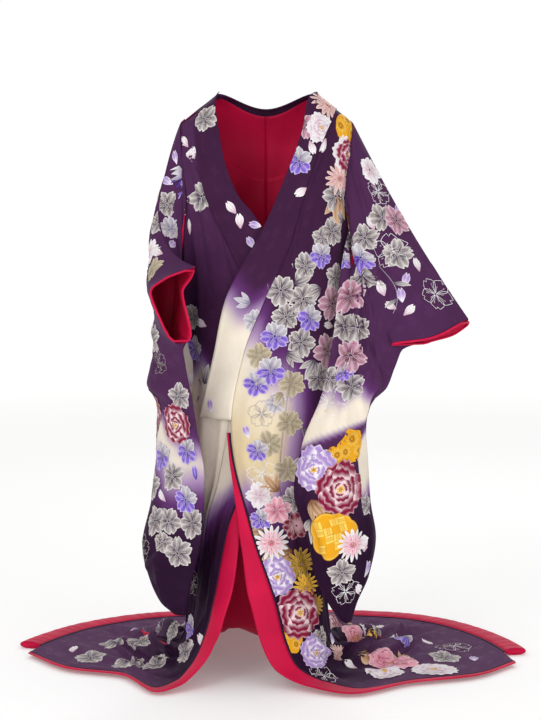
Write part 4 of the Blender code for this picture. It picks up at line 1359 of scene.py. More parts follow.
# Each thread's heart, petal and rim colours
threads = {
    "silver": "#4b3b4f #aea5a3 #f0ebe8",
    "pearl": "#77708c #b9b3bd #eeeaf0",
    "taupe": "#94866f #b7a88d #ddd2bb",
    "violet": "#4a2a9c #7f5fcc #dccff2",
    "lavender": "#f3ecf6 #ab8ccb #efe6f5",
    "white": "#cfa9bb #e9e1e6 #fbf8f6",
    "pink": "#6b2f4c #b98299 #f0dae2",
    "rose": "#c25078 #eba6b8 #fdecee",
    "dusty": "#b26672 #dba49f #f8e0da",
    "burgundy": "#f6dbe0 #85093a #f0c9d2",
    "maroon": "#e2b8c0 #74122f #d9a6b2",
    "gold": "#a5650c #eda91c #fbd664",
    "oldGold": "#6e4a10 #a97b1e #dcb75c",
    "tan": "#7b4d31 #b98962 #ead0b0",
    "line": "#e8e2ea #f3eff3 #ffffff",
    "stem": "#8c8593 #b5aeb9 #d8d3da",
}
threads = {name: [shade(code) for code in codes.split()] for name, codes in threads.items()}


def turned(points, angle, shift=(0.0, 0.0)):
    c, s = math.cos(angle), math.sin(angle)
    x, y = points[..., 0], points[..., 1]
    return np.stack([x * c - y * s + shift[0], x * s + y * c + shift[1]], -1)


def stitchedPetal(length, width, kind, thread, start=0.10, rows=6, columns=6):
    # one petal along +y from the blossom's centre, as a grid of places, colours and heights
    t = np.linspace(0, 1, rows)[:, None]
    s = np.linspace(-1, 1, columns + 1)[None, :]
    if kind == "cherry":
        half = np.sin(math.pi * (0.04 + 0.76 * t)) ** 1.1
        tip = 1 - 0.22 * np.exp(-((s / 0.30) ** 2)) - 0.16 * s * s
    elif kind == "peony":
        half = np.sin(math.pi * (0.10 + 0.66 * t)) ** 0.7
        tip = 1 - 0.22 * s * s + 0.07 * np.cos(s * math.pi * 2.6)
    elif kind == "narrow":
        half = np.sin(math.pi * (0.10 + 0.76 * t)) ** 0.6
        tip = 1 - 0.12 * s * s
    else:
        half = np.sin(math.pi * (0.03 + 0.95 * t)) ** 0.9
        tip = 1 - 0.02 * s * s
    x = width / 2 * half * s
    y = length * (start + (1 - start) * t * (1 + (tip - 1) * t))
    heart, body, rim = threads[thread]
    t, s = np.broadcast_arrays(t, s)
    reach = (0.46, 0.72) if kind == "peony" else (0.05, 0.62)
    if thread in ("silver", "taupe"):
        reach = (0.10, 0.88)
    colours = mix(heart, body, ramp(*reach, t)[..., None])
    edge = np.maximum(ramp(0.80, 1.0, t), ramp(0.66, 1.0, np.abs(s)) * ramp(0.1, 0.5, t))
    if kind == "peony":
        edge = 0.8 * np.maximum(ramp(0.96, 1.0, t), ramp(0.88, 1.0, np.abs(s)) * ramp(0.3, 0.6, t))
    colours = mix(colours, rim, (edge * 0.85)[..., None])
    if kind in ("leaf", "cherry"):
        colours = mix(colours, rim, (0.45 * np.exp(-((s / 0.16) ** 2)) * ramp(0, 0.3, t))[..., None])
    height = embroiderySettings["dome"] * (1 - s * s) * np.sin(math.pi * np.clip(t, 0.05, 0.95))
    places = np.stack([x, y], -1)
    return {"places": places, "colours": colours, "height": height, "uv": places * 100}


def ribbon(path, width, colour):
    path = np.asarray(path, float)
    way = np.gradient(path, axis=0)
    way /= np.maximum(np.linalg.norm(way, axis=1, keepdims=True), 1e-9)
    out = np.stack([way[:, 1], -way[:, 0]], -1)
    offsets = np.array([-0.5, 0.5])[None, :, None] * width
    places = path[:, None, :] + out[:, None, :] * offsets
    colours = np.broadcast_to(colour, places.shape[:2] + (3,))
    height = np.zeros(places.shape[:2])
    return {"places": places, "colours": colours, "height": height + 0.0002, "uv": places * 100}


def moved(patch, angle=0.0, shift=(0.0, 0.0), lift=0.0):
    return dict(patch, places=turned(patch["places"], angle, shift), height=patch["height"] + lift)


def petalOutline(petal):
    places = petal["places"]
    return np.concatenate([places[:, 0], places[-1, 1:-1], places[::-1, -1]])


def stamens(length, turn, reaches, start, width, colour, height):
    # ten thin stalks round the heart, each with a knot at its end
    lines, knots = [], []
    for i in range(10):
        angle = turn + (i + 0.5) * math.tau / 10
        reach = length * reaches[i % 2]
        lines.append(ribbon(turned(np.array([[0, length * start], [0, reach]]), angle), width, colour))
        knots.append((*turned(np.array([0.0, reach]), angle), height))
    return lines, knots


def heartKnots(count, spread, height):
    # knots that fill a blossom's heart, each a golden turn on from the last
    spots = [(spread * math.sqrt(i), i * 2.4) for i in range(count)]
    return [(reach * math.cos(angle), reach * math.sin(angle), height) for reach, angle in spots]


def cherryBlossom(size, thread, turn=0.0):
    patches = []
    length = size / 2
    for i in range(5):
        used = "pearl" if thread == "violet" and i in (0, 4) else thread
        reach = length * (1 + 0.05 * math.sin(7 * i + size * 300))
        petal = stitchedPetal(reach, length * 0.80, "cherry", used, 0.06)
        lift = (i % 3) * embroiderySettings["petalStep"]
        patches.append(moved(petal, turn + i * math.tau / 5, lift=lift))
    colour = threads[thread][1 if thread == "line" else 2]
    lines, knots = stamens(length, turn, (0.36, 0.50), 0.06, 0.0007, colour, 0.0009)
    return patches + [moved(line, lift=0.0007) for line in lines], knots


def outlinedBlossom(size, thread, turn=0.0):
    patches = []
    length = size / 2
    colour = threads[thread][1]
    for i in range(5):
        petal = stitchedPetal(length, length * 0.86, "cherry", thread, 0.06, 8, 8)
        line = ribbon(petalOutline(petal), embroiderySettings["outline"] * 1.25, colour)
        patches.append(moved(line, turn + i * math.tau / 5))
    lines, knots = stamens(length, turn, (0.45, 0.62), 0.05, 0.0008, colour, 0.0011)
    return patches + lines, knots


def peony(size, thread, turn=0.0):
    patches = []
    rings = ((6, 1.00, 1.02, 0.20), (5, 0.72, 0.86, 0.10), (4, 0.44, 0.58, 0.04), (3, 0.24, 0.34, 0.02))
    for ring, (count, reach, width, start) in enumerate(rings):
        for i in range(count):
            wobble = math.sin(12.9 * (i + 1) + 7.1 * ring + size * 90 + turn)
            length = size / 2 * reach * (1 + 0.10 * wobble)
            breadth = size * width / 2 * (1.08 - 0.16 * wobble)
            petal = stitchedPetal(length, breadth, "peony", thread, start, 9, 12)
            lift = ring * embroiderySettings["ringStep"] + (i % 3) * embroiderySettings["petalStep"]
            angle = turn + (i + 0.37 * ring) * math.tau / count + 0.30 * wobble
            patches.append(moved(petal, angle, lift=lift))
    top = 4 * embroiderySettings["ringStep"]
    for i in range(6):
        heart = stitchedPetal(size * 0.085, size * 0.045, "narrow", "gold", 0.0, 3, 2)
        patches.append(moved(heart, turn + i * math.tau / 6, lift=top))
    return patches, heartKnots(9, size * 0.02, top + 0.0006)


def chrysanthemum(size, thread, turn=0.0):
    patches = []
    outer = "white" if thread in ("rose", "pink") else thread
    rings = ((16, 1.00, 0.20, 0.30, outer), (13, 0.74, 0.18, 0.18, thread), (9, 0.46, 0.15, 0.06, thread))
    for ring, (count, reach, width, start, used) in enumerate(rings):
        for i in range(count):
            petal = stitchedPetal(size / 2 * reach, size / 2 * width, "narrow", used, start, 5, 2)
            lift = ring * embroiderySettings["ringStep"] + (i % 2) * embroiderySettings["petalStep"]
            patches.append(moved(petal, turn + (i + 0.5 * ring) * math.tau / count, lift=lift))
    return patches, heartKnots(7, size * 0.022, 0.0022)


def loosePetal(size, thread, turn=0.0):
    petal = stitchedPetal(size, size * 0.52, "cherry", thread, 0.0, 6, 6)
    middle = np.array([0, -size / 2])
    return [dict(petal, places=turned(petal["places"] + middle, turn))], []


def leaves(size, thread, turn=0.0):
    # a spray of three leaves
    patches = []
    for angle, share, lift in ((-0.55, 0.82, 0.0), (0.60, 0.86, 0.0002), (0.05, 1.0, 0.0004)):
        leaf = stitchedPetal(size * share, size * 0.34 * share, "leaf", thread, 0.0, 8, 4)
        patches.append(moved(leaf, turn + angle, lift=lift))
    return patches, []


def filledGround(around, edge):
    # rings of places from an outline in to its middle
    share = np.linspace(1.0, 0.02, 15)[:, None]
    return share, np.stack([share * edge * np.cos(around), share * edge * np.sin(around)], -1)


def wovenCloud(size, thread, turn=0.0):
    # a scalloped gold cloud filled with basket weave
    around = np.linspace(0, math.tau, 57)
    edge = size / 2 * (0.88 + 0.10 * np.abs(np.cos(around * 3.5)) + 0.05 * np.cos(2 * around))
    share, places = filledGround(around, edge)
    heart, body, rim = threads[thread]
    tone = ramp(0.86, 1.0, share) + 0 * around
    colours = mix(body, rim, (0.75 * tone)[..., None])
    ground = {"places": places, "colours": colours, "height": 0 * tone, "uv": places * 100}
    patches = [moved(ground, turn), moved(ribbon(places[0] * 0.985, 0.0012, heart), turn, lift=0.0004)]
    strand = size * 0.052
    for i in range(-3, 3):
        for j in range(-3, 3):
            corner = np.array([(i + 0.5) * strand * 3, (j + 0.5) * strand * 3])
            if np.linalg.norm(corner) > size * 0.36 or (i + j) % 3 == 0:
                continue
            along, beside = np.array([-1.0, 0.0]), np.array([0.0, 1.0])
            if (i + j) % 2:
                along, beside = np.array([0.0, -1.0]), np.array([1.0, 0.0])
            for k in (-1, 0, 1):
                middle = corner + beside * k * strand
                a = along * strand * 2.8 / 2
                path = [middle + a, middle + a * 0.3, middle - a * 0.3, middle - a]
                line = ribbon(path, strand * 0.82, rim if k else mix(body, rim, 0.6))
                patches.append(moved(line, turn, lift=0.0006 + 0.0001 * k))
    return patches, []


def fanOfGold(size, thread, turn=0.0):
    # gold ground with small outlined chrysanthemums
    around = np.linspace(0, math.tau, 41)
    edge = size / 2 * (0.94 + 0.06 * np.cos(around * 6))
    share, places = filledGround(around, edge)
    colours = np.broadcast_to(threads[thread][1], places.shape[:2] + (3,))
    patches = [{"places": places, "colours": colours, "height": 0 * places[..., 0], "uv": places * 100}]
    for x, y, share in ((0.0, 0.20, 0.44), (-0.24, -0.12, 0.36), (0.22, -0.16, 0.40)):
        for i in range(11):
            petal = stitchedPetal(size / 2 * share, size / 2 * share * 0.36, "narrow", thread, 0.18, 5, 2)
            lift = 0.0005 + 0.0001 * (i % 2)
            patches.append(moved(petal, i * math.tau / 11, (x * size, y * size), lift))
    return patches, []


def curvedStem(size, thread, turn=0.0):
    # a thin stalk with a small leaf on each side
    t = np.linspace(0, 1, 14)
    path = np.stack([size * 0.10 * np.sin(math.pi * t), -size * t], -1)
    patches = [ribbon(path, 0.0009, threads["stem"][1])]
    for place, angle in ((5, 0.9), (9, -0.9)):
        leaf = stitchedPetal(size * 0.20, size * 0.075, "leaf", thread, 0.0, 6, 4)
        patches.append(moved(leaf, angle + math.pi, tuple(path[place]), 0.0002))
    return [moved(p, turn) for p in patches], []


makers = {
    "cherry": cherryBlossom, "line": outlinedBlossom, "peony": peony, "chrysanthemum": chrysanthemum,
    "petal": loosePetal, "leaves": leaves, "cloud": wovenCloud, "fan": fanOfGold, "stem": curvedStem,
}

motifGrowth = {"cherry": 1.15, "line": 1.12, "petal": 1.05}    # how much larger each kind is stitched


def readGrid(grid, r, c):
    # the grid's value between its points
    rows, columns = grid.shape[:2]
    i = np.clip(np.floor(r).astype(int), 0, rows - 2)
    j = np.clip(np.floor(c).astype(int), 0, columns - 2)
    a, b = (r - i)[..., None], (c - j)[..., None]
    top = mix(grid[i, j], grid[i, j + 1], b)
    return mix(top, mix(grid[i + 1, j], grid[i + 1, j + 1], b), a)


neighbours = {}
for word, other in (("Left", "Right"), ("Right", "Left")):
    group = ["front" + word, "okumi" + word, "back" + word]
    neighbours["front" + word] = group
    neighbours["okumi" + word] = group
    neighbours["back" + word] = group + ["back" + other]

regions = {}    # what is stitched on each part: places, colours, uv, faces and knots


def regionOf(name):
    if name.startswith("back"):
        return "Back"
    word = "Left" if name.endswith("Left") else "Right"
    return ("Sleeve" if name.startswith("sleeve") else "Front") + word


def castOn(names, origin, way):
    # the first surface that a look from origin meets, and where
    best = None
    for name in names:
        place, normal, face, distance = targets[name]["tree"].ray_cast(Vector(origin), Vector(way))
        if place is not None and (best is None or distance < best[2]):
            best = (name, np.array(place), distance)
    return best


def layPatches(name, patches, knots, middle, normalAt, right, base, reach):
    # lays a flat motif on one surface round the place middle, following its folds
    ground = targets[name]
    place, normal, face, distance = ground["tree"].find_nearest(Vector(middle))
    if place is None or distance > reach:
        return
    points = ground["points"]
    rows, columns = points.shape[:2]
    row, column = divmod(face, columns - 1)
    normal = ground["normals"][row, column]
    if (normal * normalAt).sum() < 0.35:
        return
    across = right - normal * (right * normal).sum()
    across /= np.linalg.norm(across)
    up = np.cross(normal, across)
    span = 3
    lowRow, highRow = max(row - span, 0), min(row + span, rows - 1)
    lowColumn, highColumn = max(column - span, 0), min(column + span, columns - 1)
    down = (points[highRow, column] - points[lowRow, column]) / (highRow - lowRow)
    over = (points[row, highColumn] - points[row, lowColumn]) / (highColumn - lowColumn)
    matrix = np.array([[down @ across, over @ across], [down @ up, over @ up]])
    if abs(np.linalg.det(matrix)) < 1e-7:
        return
    inverse = np.linalg.inv(matrix)
    reference = readGrid(points, np.array(row + 0.5), np.array(column + 0.5))
    offset = middle - reference
    if abs(offset @ normal) > embroiderySettings["neighbourGap"]:
        return
    shift = np.array([offset @ across, offset @ up])
    empty = {"places": [], "colours": [], "uv": [], "faces": [], "knots": [], "count": 0}
    region = regions.setdefault(regionOf(name), empty)

    def onCloth(flat, lift):
        step = (flat + shift) @ inverse.T
        r, c = row + 0.5 + step[..., 0], column + 0.5 + step[..., 1]
        inside = (r >= 0) & (r <= rows - 1) & (c >= 0) & (c <= columns - 1)
        r, c = np.clip(r, 0, rows - 1.001), np.clip(c, 0, columns - 1.001)
        where = readGrid(points, r, c)
        normals = readGrid(ground["normals"], r, c)
        normals = normals / np.maximum(np.linalg.norm(normals, axis=-1, keepdims=True), 1e-9)
        return where + normals * lift[..., None], inside

    for patch in patches:
        lift = patch["height"] + base
        where, inside = onCloth(patch["places"], lift)
        if not inside.any():
            continue
        quads = gridFaces(*inside.shape)
        flatInside = inside.ravel()
        flatWhere = where.reshape(-1, 3)
        keep = flatInside[quads].sum(1) >= 2
        diagonal = np.linalg.norm(flatWhere[quads[:, 0]] - flatWhere[quads[:, 2]], axis=1)
        flat = patch["places"].reshape(-1, 2)
        wished = np.linalg.norm(flat[quads[:, 0]] - flat[quads[:, 2]], axis=1)
        keep &= (diagonal < wished * 3.0 + 0.0008) & (diagonal > 1e-5)
        wanted = middle + flat[:, :1] * across + flat[:, 1:] * up
        strayed = np.linalg.norm(flatWhere - wanted, axis=1) > reach * embroiderySettings["stray"] + 0.004
        keep &= ~strayed[quads].any(1)
        if not keep.any():
            continue
        region["faces"].append(quads[keep] + region["count"])
        region["places"].append(flatWhere)
        region["colours"].append(patch["colours"].reshape(-1, 3))
        region["uv"].append(patch["uv"].reshape(-1, 2))
        region["count"] += len(flatWhere)
    for x, y, lift in knots:
        where, inside = onCloth(np.array([x, y]), np.array(base + lift))
        if inside:
            region["knots"].append(where)


def stitch(kind, thread, size, turn, layer, origin, way, right, names):
    # stitches one motif where a look along way meets the cloth, if it meets any
    found = castOn(names, origin, way)
    if found is None:
        return False
    name, middle, distance = found
    ground = targets[name]
    place, normal, face, distance = ground["tree"].find_nearest(Vector(middle))
    row, column = divmod(face, ground["points"].shape[1] - 1)
    normalAt = ground["normals"][row, column]
    if (normalAt * np.array(way)).sum() > 0.05:
        return False
    size = size * motifGrowth.get(kind, 1.0)
    patches, knots = makers[kind](size, thread, turn)
    base = embroiderySettings["lift"] + layer * embroiderySettings["motifStep"]
    for each in neighbours.get(name, [name]):
        layPatches(each, patches, knots, middle, normalAt, right, base, size * 0.5)
    return True


def viewer(azimuth):
    # where someone stands who looks at the robe from that side
    angle = math.radians(azimuth)
    out = np.array([math.sin(angle), -math.cos(angle), 0.0])
    right = np.array([math.cos(angle), math.sin(angle), 0.0])
    return out, right


def embroider(rows, azimuth, names):
    # each row's two places are centimetres to the viewer's right and above the shoulders
    out, right = viewer(azimuth)
    eye = out * studioSettings["distance"] + np.array([0, 0, studioSettings["height"]])
    done = 0
    for kind, thread, x, z, size, turn, layer in rows:
        aim = out * 0.15 + right * x / 100 + np.array([0, 0, z / 100])
        way = (aim - eye) / np.linalg.norm(aim - eye)
        done += stitch(kind, thread, size / 100, math.radians(turn), layer, eye, way, right, names)
    return done


def embroiderTrain(rows, names):
    # each row's two places are centimetres to the wearer's left and to the back, seen from above
    down, right = np.array([0.0, 0.0, -1.0]), np.array([1.0, 0.0, 0.0])
    done = 0
    for kind, thread, x, y, size, turn, layer in rows:
        eye = np.array([x / 100, y / 100, -1.0])
        done += stitch(kind, thread, size / 100, math.radians(turn), layer, eye, down, right, names)
    return done


def readMotifs(*lines):
    # motifs written as: kind, thread, two places and the size in centimetres, then the turn in
    # degrees and the layer, which are 0 where they are left out
    rows = []
    for text in "; ".join(lines).split("; "):
        kind, thread, *numbers = text.split()
        numbers = [float(number) for number in numbers] + [0.0] * (5 - len(numbers))
        rows.append((kind, thread, *numbers))
    return rows


frontStitches = readMotifs(
    # left shoulder
    "chrysanthemum dusty 14 -3.5 9.5 20; fan gold 18.5 -8 8.5; peony white 12.5 -8.5 7.0 10 1",
    "cherry pink 9 -8 5.8 40; peony burgundy 18.5 -14.5 7.0 0 1; chrysanthemum dusty 16.8 -20 8.0",
    "leaves tan 16.5 -24 7.0 170; leaves tan 18.5 -28 6.0 200; cherry white 23.5 -18 6.5",
    "line line 25.5 -23 6.5 15; petal white 13 -12.5 3.6 160; petal white 10.5 -13 3.4 200",
    # left chest and body, above the pale band
    "cherry violet 7.5 -16 6.4 10; petal white 8 -23 3.6 120; petal lavender 4.5 -19 3.0 60",
    "petal white 24 -30 3.6 30; cherry silver 15 -32 6.6 20; cherry silver 19.5 -34.5 6.2 50",
    "cherry violet 12.6 -37.5 5.6 30 1; cherry silver 9 -40 6.0; cherry silver 3.4 -45.5 7.0 25",
    "cherry silver 16 -42.5 6.4 60; cherry pink 15 -48.5 7.6 12 1; cherry silver 8.5 -47.5 6.8 44",
    "cherry violet 10 -52 6.2 0 1; cherry silver 4.5 -51.5 6.4 10; leaves silver 6.5 -44 5.0 -70",
    "leaves silver 12.5 -45 4.6 110; cherry silver 18 -54 6.6 33; cherry pink 14 -59.5 8.0 24 1",
    "cherry silver 8 -57.5 6.8 52; cherry violet 2.0 -56 6.4 20 1; cherry pearl -2.5 -52.5 5.2",
    "cherry silver 12 -65.5 6.6; cherry violet 1.0 -64 6.6 40 1; cherry taupe -1.5 -60.5 5.6 5",
    "leaves silver 4.6 -60 4.8 -120; leaves taupe 3.6 -69 4.4 150; cherry violet -2.2 -67 5.6 15 1",
    "cherry taupe 6.0 -67 6.2 28; stem silver 0.4 -44 22 -8; stem silver 5.5 -70 20 6",
    "line silver -1.0 -74 6.0; cherry taupe 5.4 -76 5.8 42; cherry taupe 0.8 -81 6.0 22",
    "cherry violet -2.0 -82.5 5.0 0 1; petal lavender -4.5 -78 3.2 20; line line -1.0 -88 6.5 12",
    "cherry taupe 5.0 -87 5.8; cherry white -1.5 -93.0 6.0 20; leaves tan 2.8 -92 5.4 40",
    "cherry silver 12.8 -33.5 5.0 66; cherry violet 17.6 -38.5 4.6 12 1; petal white 14.2 -53.5 3.2 80 1",
    "leaves silver 11.2 -61.5 5.2 150; leaves silver 17.5 -30.0 5.0 35",
    "cherry violet 17.8 -64.5 4.8 40 1; leaves pearl -3.6 -48.5 4.2 70; cherry pearl 2.2 -71.5 4.8 12",
    # lower cluster of the left front
    "cherry rose 2.5 -96.5 6.4 0 1; cherry silver 6.4 -94 6.0 20; cherry maroon 7.0 -100 6.6 10 1",
    "cherry violet -1.2 -98.5 5.0 0 1; chrysanthemum rose 1.2 -104 8.6 0 2; leaves tan 6.0 -106 8.0 100",
    "leaves tan -0.5 -101 6.0 90; peony lavender 2.6 -112 10.0 10 1",
    "chrysanthemum oldGold 8.0 -109 8.0 0 1; chrysanthemum gold 9.2 -114.5 7.0 12 2",
    "peony burgundy 7.6 -120.5 12.5 0 3; fan gold 5.6 -127 6.5 0 1; cherry silver 12.5 -127 6.0",
    "leaves tan 12 -114 6.5 -60; chrysanthemum oldGold 11.5 -119 6.0",
    # left sleeve
    "line line 28.5 -36.5 8.0 8; cherry silver 26.5 -29 6.6 33; cherry silver 22.5 -33.5 6.4 10",
    "cherry violet 21.5 -38 6.0 20 1; cherry silver 22 -42 6.6 50; cherry pink 19.5 -47 7.4 0 1",
    "cherry silver 21 -54 6.6 22; cherry pink 19.5 -60.5 7.6 40 1; cherry silver 19.5 -67.5 7.0 12",
    "cherry silver 14.5 -66 6.4 40; line line 14.5 -71.5 8.5; stem silver 26 -40 16 25",
    "petal white 34.5 -39.5 3.8 20; petal lavender 32 -43 3.6 -20; petal lavender 31 -46.5 3.6 10",
    "petal white 28.5 -49 3.2 60; petal white 33 -50 3.6 -40; petal white 26.5 -45 4.0 20",
    "petal lavender 30.0 -27 3.6; petal violet 29.0 -31 3.2 50",
    # lower flap of the left sleeve
    "fan gold 19.8 -81.5 8.5; fan gold 16.4 -85.0 7.0 60; peony lavender 11.2 -87 11.0 0 1",
    "peony burgundy 17.0 -91.5 12.5 20 2; leaves tan 10.5 -94 7.0 200; leaves silver 10.5 -98.5 6.0 190",
    "cloud gold 15.5 -102 12.0 12 1; chrysanthemum rose 20 -104.5 8.0 0 2",
    "cherry silver 17.5 -111 6.2 0 1; line line 18.5 -115.5 6.5; cherry silver 23.5 -95 5.2",
    "petal white 22.6 -104 4.2 10; petal lavender 23.2 -110 4.0 -15; petal white 21.6 -115 3.6 30",
    # right chest and front
    "cherry silver -14 -6.5 6.6 20; petal white -8 -26.5 3.6 40; petal white -6 -29.5 3.6 10",
    "petal lavender -2.5 -30.5 3.2 80; petal lavender -3.5 -34.5 3.2 30; cherry violet -16 -59 6.2 0 1",
    "stem silver -16.2 -61 13 14; leaves silver -14.2 -67 5.0 -20; petal white -15 -53 3.6 70",
    "petal lavender -12.8 -72 3.4 10; cherry silver -16.5 -51.5 5.6 30",
    # right sleeve
    "petal white -18.6 -11.5 3.4 40; petal lavender -20.6 -15.0 3.2 10",
    "petal lavender -22.6 -20.5 3.4 60; cherry silver -22.6 -26.0 5.8 33",
    "cherry pearl -21.6 -31.5 5.8 20; cherry silver -24.5 -30 5.6; petal white -23.5 -32 3.4 20",
    "petal lavender -21.5 -35 3.4 -20; petal white -24.8 -37 3.4 50; line line -24.5 -47 6.5",
    "cherry silver -23.5 -54 6.2 10; petal lavender -20 -57 3.6; line silver -24.5 -62.0 6.0 30",
    "petal white -17.2 -66 3.4; cherry silver -20.0 -70 6.0 15; peony burgundy -20.6 -76.5 9.5 0 1",
    "cherry violet -18.2 -82.5 6.4 20 1; petal violet -16.4 -87.5 3.4 10",
    "cherry silver -21.6 -88.5 6.6 5; cherry violet -18.4 -94 6.4 0 1; cherry silver -17.0 -99.5 7.0 22",
    "cherry silver -22.5 -99 6.2 42; cherry silver -20.5 -106.5 7.0 11; petal white -24.2 -93 3.6 30",
    "cherry silver -24.0 -104 5.0; line silver -17.0 -113.5 6.0",
    # folds of the train that show from the front
    "peony lavender 11.5 -130 9.0 0 1; chrysanthemum dusty 16.5 -130.5 7.0 0 1",
    "peony rose 20.5 -126.5 9.0 0 1; peony white 27.5 -134.5 10.0 0 1; leaves tan 24.0 -130.0 7.0 60",
    "petal white 22.8 -124 4.0 20; petal white 19.5 -133 4.0 70; petal lavender 15.2 -126.5 3.6",
    "line line 13.5 -135.5 7.0; petal white 30.0 -126 3.8 90; cherry silver -19.0 -129.5 7.0 20",
    "cherry silver -21.5 -124.5 6.6; cherry silver -25.5 -133.0 7.0 40",
    "cherry silver -30.5 -132.5 7.0 10; cherry violet -17.2 -124 6.0 0 1; petal white -15.0 -127 4.0 30",
    "cherry silver -17.5 -135.5 6.6 30; petal lavender -22.5 -127.0 3.6",
)

backStitches = readMotifs(
    # right shoulder as seen from behind
    "chrysanthemum dusty -14 -9 9.0; fan gold -17 -15 8.0; peony burgundy -13 -20 10.0 0 1",
    "peony white -8 -14 7.5 10 1; leaves tan -9 -24 7.0 160; cherry pink -16.5 -26 7.0",
    "cherry silver -11 -32 7.0 20; cherry violet -15 -37 6.4 0 1; cherry silver -6 -37.5 6.6 40",
    "line line -2 -29 8.0 10; cherry pink -9.5 -43.5 7.6 0 1; cherry silver -14.5 -47 7.0 30",
    "stem silver -5 -41 22 -14; cherry silver -4 -50 7.0; cherry violet 0.5 -55 6.6 20 1",
    "leaves silver -10 -51 6.0 120",
    # left shoulder as seen from behind
    "cherry silver 13 -12 7.0; petal lavender 14.5 -18.5 3.4 30; cherry violet 10.5 -19 6.2 0 1",
    "petal white 7 -26 3.8 30; petal lavender 11 -28 3.6 -30; petal white 3 -22 3.6 80",
    "cherry silver 15 -34 6.4 10; petal white 9 -38 3.8 10; petal lavender 5 -33 3.4 60",
    "line line 12 -46 7.5; stem silver 13 -50 18 12; cherry violet 8 -60 6.6 0 1",
    # the pale band and below it
    "cherry silver -12 -60 7.0; cherry silver -5.5 -65 6.6 22; cherry violet 3.5 -69 6.4 0 1",
    "cherry silver 10.5 -72 6.8 40; line silver -10 -74 7.0; cherry silver -1.5 -78 6.2 12",
    "cherry white 12.5 -84 6.4; cherry rose 6.5 -86 7.0 0 1; cherry maroon -6 -86 7.0 20",
    "leaves tan 1 -88 8.0 30; chrysanthemum rose -1 -94 9.5 0 2; peony lavender 7 -96 11.0 0 1",
    "chrysanthemum oldGold -8.5 -95 9.0 0 1; peony burgundy -4.5 -104 13.0 0 3",
    "cloud gold 7.5 -107 12.0 0 1; leaves tan 13 -102 8.0 -60; chrysanthemum gold -12.0 -104 8.0",
    "peony rose 0.5 -114 9.5 0 1; cherry silver 13 -116 7.0; cherry violet -11 -114 6.4 0 1",
    "cherry silver -14 -122 7.0; line line 8 -122 7.5; petal white -5 -122 4.0 30",
    "petal lavender 3 -126 4.0 -30",
    # sleeves seen from behind
    "cherry silver -25 -22 7.0; cherry pink -28 -30 7.4 20; cherry violet -24 -37 6.4 0 1",
    "line line -31 -38 8.0; petal white -36 -43 3.8 20; petal lavender -33 -49 3.8 -10",
    "cherry silver -26 -46 7.0 30; cherry silver -22 -56 6.8; peony lavender -22 -74 11.0 0 1",
    "peony burgundy -19 -84 12.0 0 2; cloud gold -21 -95 11.5 0 1; chrysanthemum rose -17 -103 8.5 0 2",
    "leaves tan -24 -103 7.0 150; line line -19 -111 7.0; cherry silver 24 -24 7.0",
    "cherry silver 23 -32 6.6 22; cherry violet 26 -40 6.4 0 1; petal white 22 -47 3.8",
    "cherry white 25 -55 6.6 12; line line 23 -64 7.5; peony burgundy 24 -75 10.0 0 1",
    "cherry violet 22 -85 6.6 0 1; cherry silver 26 -89 7.0 22; cherry silver 21.5 -95 7.0",
    "cherry silver 25 -103 7.0 40; line silver 22 -109 6.6",
)

sideStitches = {
    -75: readMotifs(
        "petal white 1 -14 3.6; cherry violet -3 -20 6.4 20 1; cherry silver 4 -24 6.8 30",
        "petal white 0 -31 3.8; cherry white -2 -38 6.4; cherry taupe 4 -42 6.4 20; line line 0 -50 7.5",
        "cherry silver 3 -58 6.8; peony burgundy -1 -74 11.0 0 1; cherry silver -4 -83 6.8",
        "cherry violet 3 -86 6.6 20 1; cherry silver -1 -94 7.0; cherry silver 3 -102 7.0 30",
        "petal white -5 -102 3.8; line silver -1 -110 6.6",
    ),
    75: readMotifs(
        "peony white 0 -14 8.0; cherry silver -4 -24 7.0 10; cherry pink 2 -30 7.4 0 1",
        "cherry silver -2 -38 7.0 30; petal lavender 4 -42 3.8; line line -1 -48 8.0",
        "cherry silver 2 -60 6.8; peony lavender 0 -78 10.0 0 1; chrysanthemum gold -3 -88 9.0",
        "cherry silver 2 -96 6.6; petal white -1 -104 4.2 20; petal lavender 1 -110 4.0 -20",
    ),
}

trainStitches = readMotifs(
    "peony rose 30 2 13.0 0 1; peony white 40 -4 12.0 0 1; leaves tan 36 5 9.0 60",
    "chrysanthemum gold 24 10 10.0 0 1; cherry silver 44 8 8.0; cherry violet 34 16 7.0 20 1",
    "line line 47 18 9.0; petal white 41 25 4.4 30; cherry silver 27 27 8.0 40",
    "peony burgundy 17 24 13.0 0 2; cloud gold 6 29 13.0 0 1; chrysanthemum rose 12 37 10.0 0 1",
    "peony lavender -4 36 12.0 0 1; leaves tan 22 36 9.0 20; cherry silver -12 27 8.0",
    "cherry silver -20 34 8.0 30; cherry violet -14 44 7.4 0 1; cherry white 2 45 7.6",
    "line line -27 25 9.0; cherry silver -31 14 8.0; cherry silver -38 22 8.0 20; petal white -24 43 4.4",
    "petal lavender -33 33 4.4 60; petal white 30 42 4.4 10; cherry silver -43 8 8.0",
    "cherry silver -33 2 8.0 40; petal white -48 16 4.2; petal lavender 51 8 4.2",
)

grounds = list(targets)
print("front motifs", embroider(frontStitches, 0, grounds), "of", len(frontStitches))
print("back motifs", embroider(backStitches, 180, grounds), "of", len(backStitches))
for azimuth, rows in sideStitches.items():
    print("side motifs", embroider(rows, azimuth, grounds), "of", len(rows))
bodies = [name for name in grounds if not name.startswith("sleeve")]
print("train motifs", embroiderTrain(trainStitches, bodies), "of", len(trainStitches))


